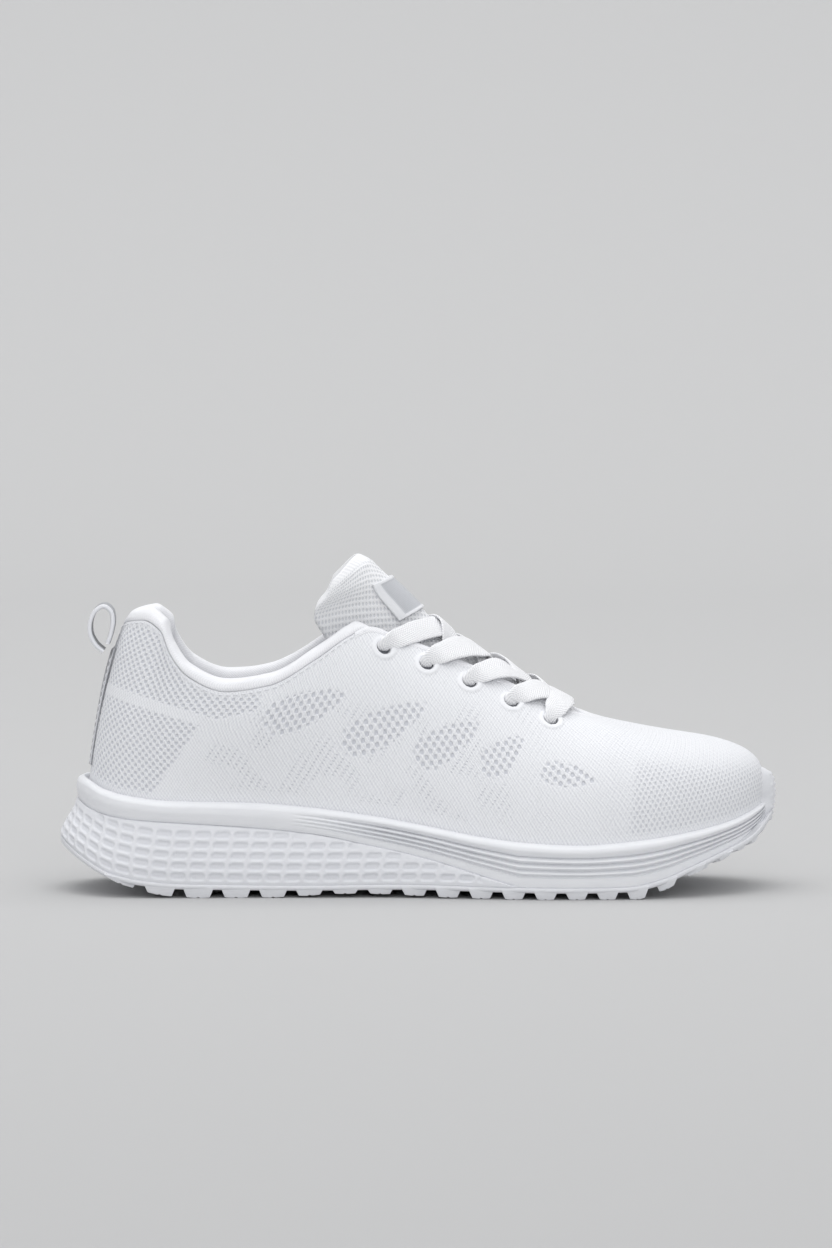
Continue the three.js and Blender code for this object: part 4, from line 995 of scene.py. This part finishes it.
path = np.array([(-120.6, 91.4), (-123.6, 94.2), (-125.6, 98.5), (-125.4, 103.4), (-123.2, 107.4),
    (-120.2, 108.8), (-117.7, 107), (-116.9, 103.4), (-117.6, 98.6), (-119, 94.4)])
line = flow(np.stack([path[:, 0], 0 * path[:, 0], path[:, 1]], -1), 12)
run = unit(np.gradient(line, axis=0))
out = np.stack([-run[:, 2], 0 * run[:, 0], run[:, 0]], -1)
wide = np.r_[np.linspace(-7, 7, 29), np.linspace(7, -7, 29)]
lift = np.r_[np.full(29, 0.8), np.full(29, -0.8)] * np.where(abs(wide) > 6.9, 0.6, 1)
loops = line[:, None] + out[:, None] * lift[:, None] + np.array([0, 1, 0]) * wide[:, None]
flat = np.stack(np.broadcast_arrays(wide[None], run_length(line, 0)[:, None]), -1)
tab = loft("pull_tab", loops, flat, layers={"hem": np.repeat(step(abs(wide) - 6.2, 0.5)[None], len(line), 0)})
for piece, body in ((strip, "shoe"), (tab, "pull_tab")):
    piece.data.materials.append(reflective)
    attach(piece, body)
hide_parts("heel_strip")
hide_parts("pull_tab")
vs = np.linspace(0.17, 0.77, 200)
for name, k in (("heel_stitches_lateral", 0.027), ("heel_stitches_medial", -0.027)):
    row = stitches(name, skin(k, vs) + skin_normal(k + 0 * vs, vs) * 0.95, skin_normal(k + 0 * vs, vs))
    row.data.materials.append(thread)
    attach(row, "shoe")

# ---- tongue --------------------------------------------------------------------------------------------
# A padded flap: open mesh knit in front, foam inside and brushed lining behind,
# sewn round its edge.

tongue_thick = through([(0, 3.2), (0.45, 3.6), (0.62, 5), (0.75, 6.6), (0.95, 6.8), (1, 5.6)])
s = np.r_[np.linspace(0, 0.94, 170), 0.94 + 0.06 * np.sin(np.linspace(0.04, 1, 26) * np.pi / 2)]
turn = np.linspace(-1, 1, 121)
q = np.sin(turn * np.pi / 2) * 0.35 + turn * 0.65
S, Q = np.meshgrid(s, q, indexing="ij")
rounded = S - 0.05 * np.maximum(0, (S - 0.8) / 0.2) * Q**4
middle = unit(tongue_normal(rounded, Q) * 0.5 + tongue_normal(rounded, 0 * Q) * 0.5)
plump = np.sqrt(np.maximum(0, 1 - abs(Q) ** 5)) * np.sqrt(np.clip((1.0 - S) / 0.05, 0.0, 1))
thick = tongue_thick(rounded)
front_face = tongue_face(rounded, Q) - middle * (thick * 0.5 * (1 - plump))[..., None]
back_face = tongue_face(rounded, Q) - middle * (thick * (0.5 + 0.5 * plump))[..., None]
length = run_length(front_face, 0)
width = run_length(front_face, 1)
width = width - width[:, 60:61]
top_rib = step(S - 0.962, 0.02) * np.sin(2 * np.pi * width / 1.8) * 0.1
dent = step(np.cos(2 * np.pi * width / 2.5) * np.cos(2 * np.pi * length / 2.7) - 0.35,
    0.5) * 0.28 * step(0.95 - S, 0.02)
quilt = 0.35 * np.sin(width / 6.5) * np.sin(length / 9.5) * step(S - 0.66, 0.1)
out = tongue_normal(rounded, Q)
front_face = front_face + out * ((top_rib - dent + quilt) * plump)[..., None]
loops = np.concatenate([front_face, back_face[:, ::-1][:, 1:-1]], 1)
flat = np.stack([np.concatenate([width, width[:, ::-1][:, 1:-1]], 1),
    np.concatenate([length, length[:, 1:-1]], 1)], -1)
front_only = np.concatenate([np.ones_like(S), np.zeros_like(S[:, 1:-1])], 1)
tongue = loft("tongue", loops, flat, layers={"front": front_only,
    "top": np.concatenate([step(S - 0.962, 0.02), 0 * S[:, 1:-1]], 1)})
# Open mesh knit: white yarn with holes about 2 mm apart, ribbed along the top; the holes are painted light
# grey as shade.
made, tree, shader = surface("open_mesh_knit", "#EEEFF3", 0.88, Sheen_Weight=0.2, Sheen_Roughness=0.45)
uv = add(tree, "SeparateXYZ", None, {0: add(tree, "UVMap").outputs[0]})
lattice = combine(tree, "MULTIPLY", wave(tree, uv.outputs[0], 2.5), wave(tree, uv.outputs[1], 2.7))
holes = combine(tree, "MULTIPLY", ramp(tree, lattice, 0.1, 0.5),
    combine(tree, "SUBTRACT", layer(tree, "front"), layer(tree, "top")))
holes = combine(tree, "MAXIMUM", holes, 0.0)
ribs = combine(tree, "MULTIPLY", wave(tree, uv.outputs[0], 1.8), layer(tree, "top"))
fuzz = cloth_noise(tree, 2.0, 4.0)
tone = ramp(tree, combine(tree, "ADD", combine(tree, "MULTIPLY", ribs, -0.25), fuzz), -0.1, 1.0)
base = mixed(tree, tone, "#EAEBEE", "#FBFBFC")
# Painted shade: the mesh holes are darkened towards light grey.
dark = mixed(tree, combine(tree, "MULTIPLY", holes, 0.8), base, "#DBDDE1")
paint(tree, shader, dark)
relief = combine(tree, "SUBTRACT", combine(tree, "MULTIPLY", fuzz, 0.5), holes)
emboss(tree, shader, relief, 0.7, 0.0003)
tongue.data.materials.append(made)
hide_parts("tongue_cover_lower", "tongue_foam_lower", "tongue_lining_lower", "tongue_cover_flap",
    "tongue_foam_flap", "tongue_lining_flap")
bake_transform(tongue)

# ---- tongue label ----------------------------------------------------------------------------------------
# A satin woven label with folded white borders, sewn on the tongue's front and
# left blank.
s, q = np.linspace(0.705, 0.865, 60), np.linspace(-0.54, 0.54, 70)
S, Q = np.meshgrid(s, q, indexing="ij")
face = tongue_face(S, Q)
out = tongue_normal(S, Q)
border = np.maximum(step(abs(Q) - 0.44, 0.03), step(abs(S - 0.785) - 0.069, 0.004))
height = 0.95 + border * 0.28
loops = np.concatenate([face + out * height[..., None], (face + out * 0.3)[:, ::-1]], 1)
flat = np.stack([np.concatenate([Q, Q[:, ::-1]], 1) * 15, np.concatenate([S, S], 1) * 120], -1)
label = loft("tongue_label", loops, flat, layers={"hem": np.concatenate([border, border], 1)})
made, tree, shader = surface("satin_woven_label", "#B2B4B9", 0.34, Sheen_Weight=0.15)
uv = add(tree, "SeparateXYZ", None, {0: add(tree, "UVMap").outputs[0]})
weft = combine(tree, "MULTIPLY", wave(tree, uv.outputs[0], 0.8), wave(tree, uv.outputs[1], 0.5))
tone = ramp(tree, weft, -1.0, 1.0)
satin = mixed(tree, tone, "#B9BBC0", "#D3D5D9")
hemmed = mixed(tree, layer(tree, "hem"), satin, "#F0F1F4")
paint(tree, shader, hemmed)
emboss(tree, shader, weft, 0.4, 0.00015)
label.data.materials.append(made)
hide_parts("tongue_label")
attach(label, "tongue_flap")
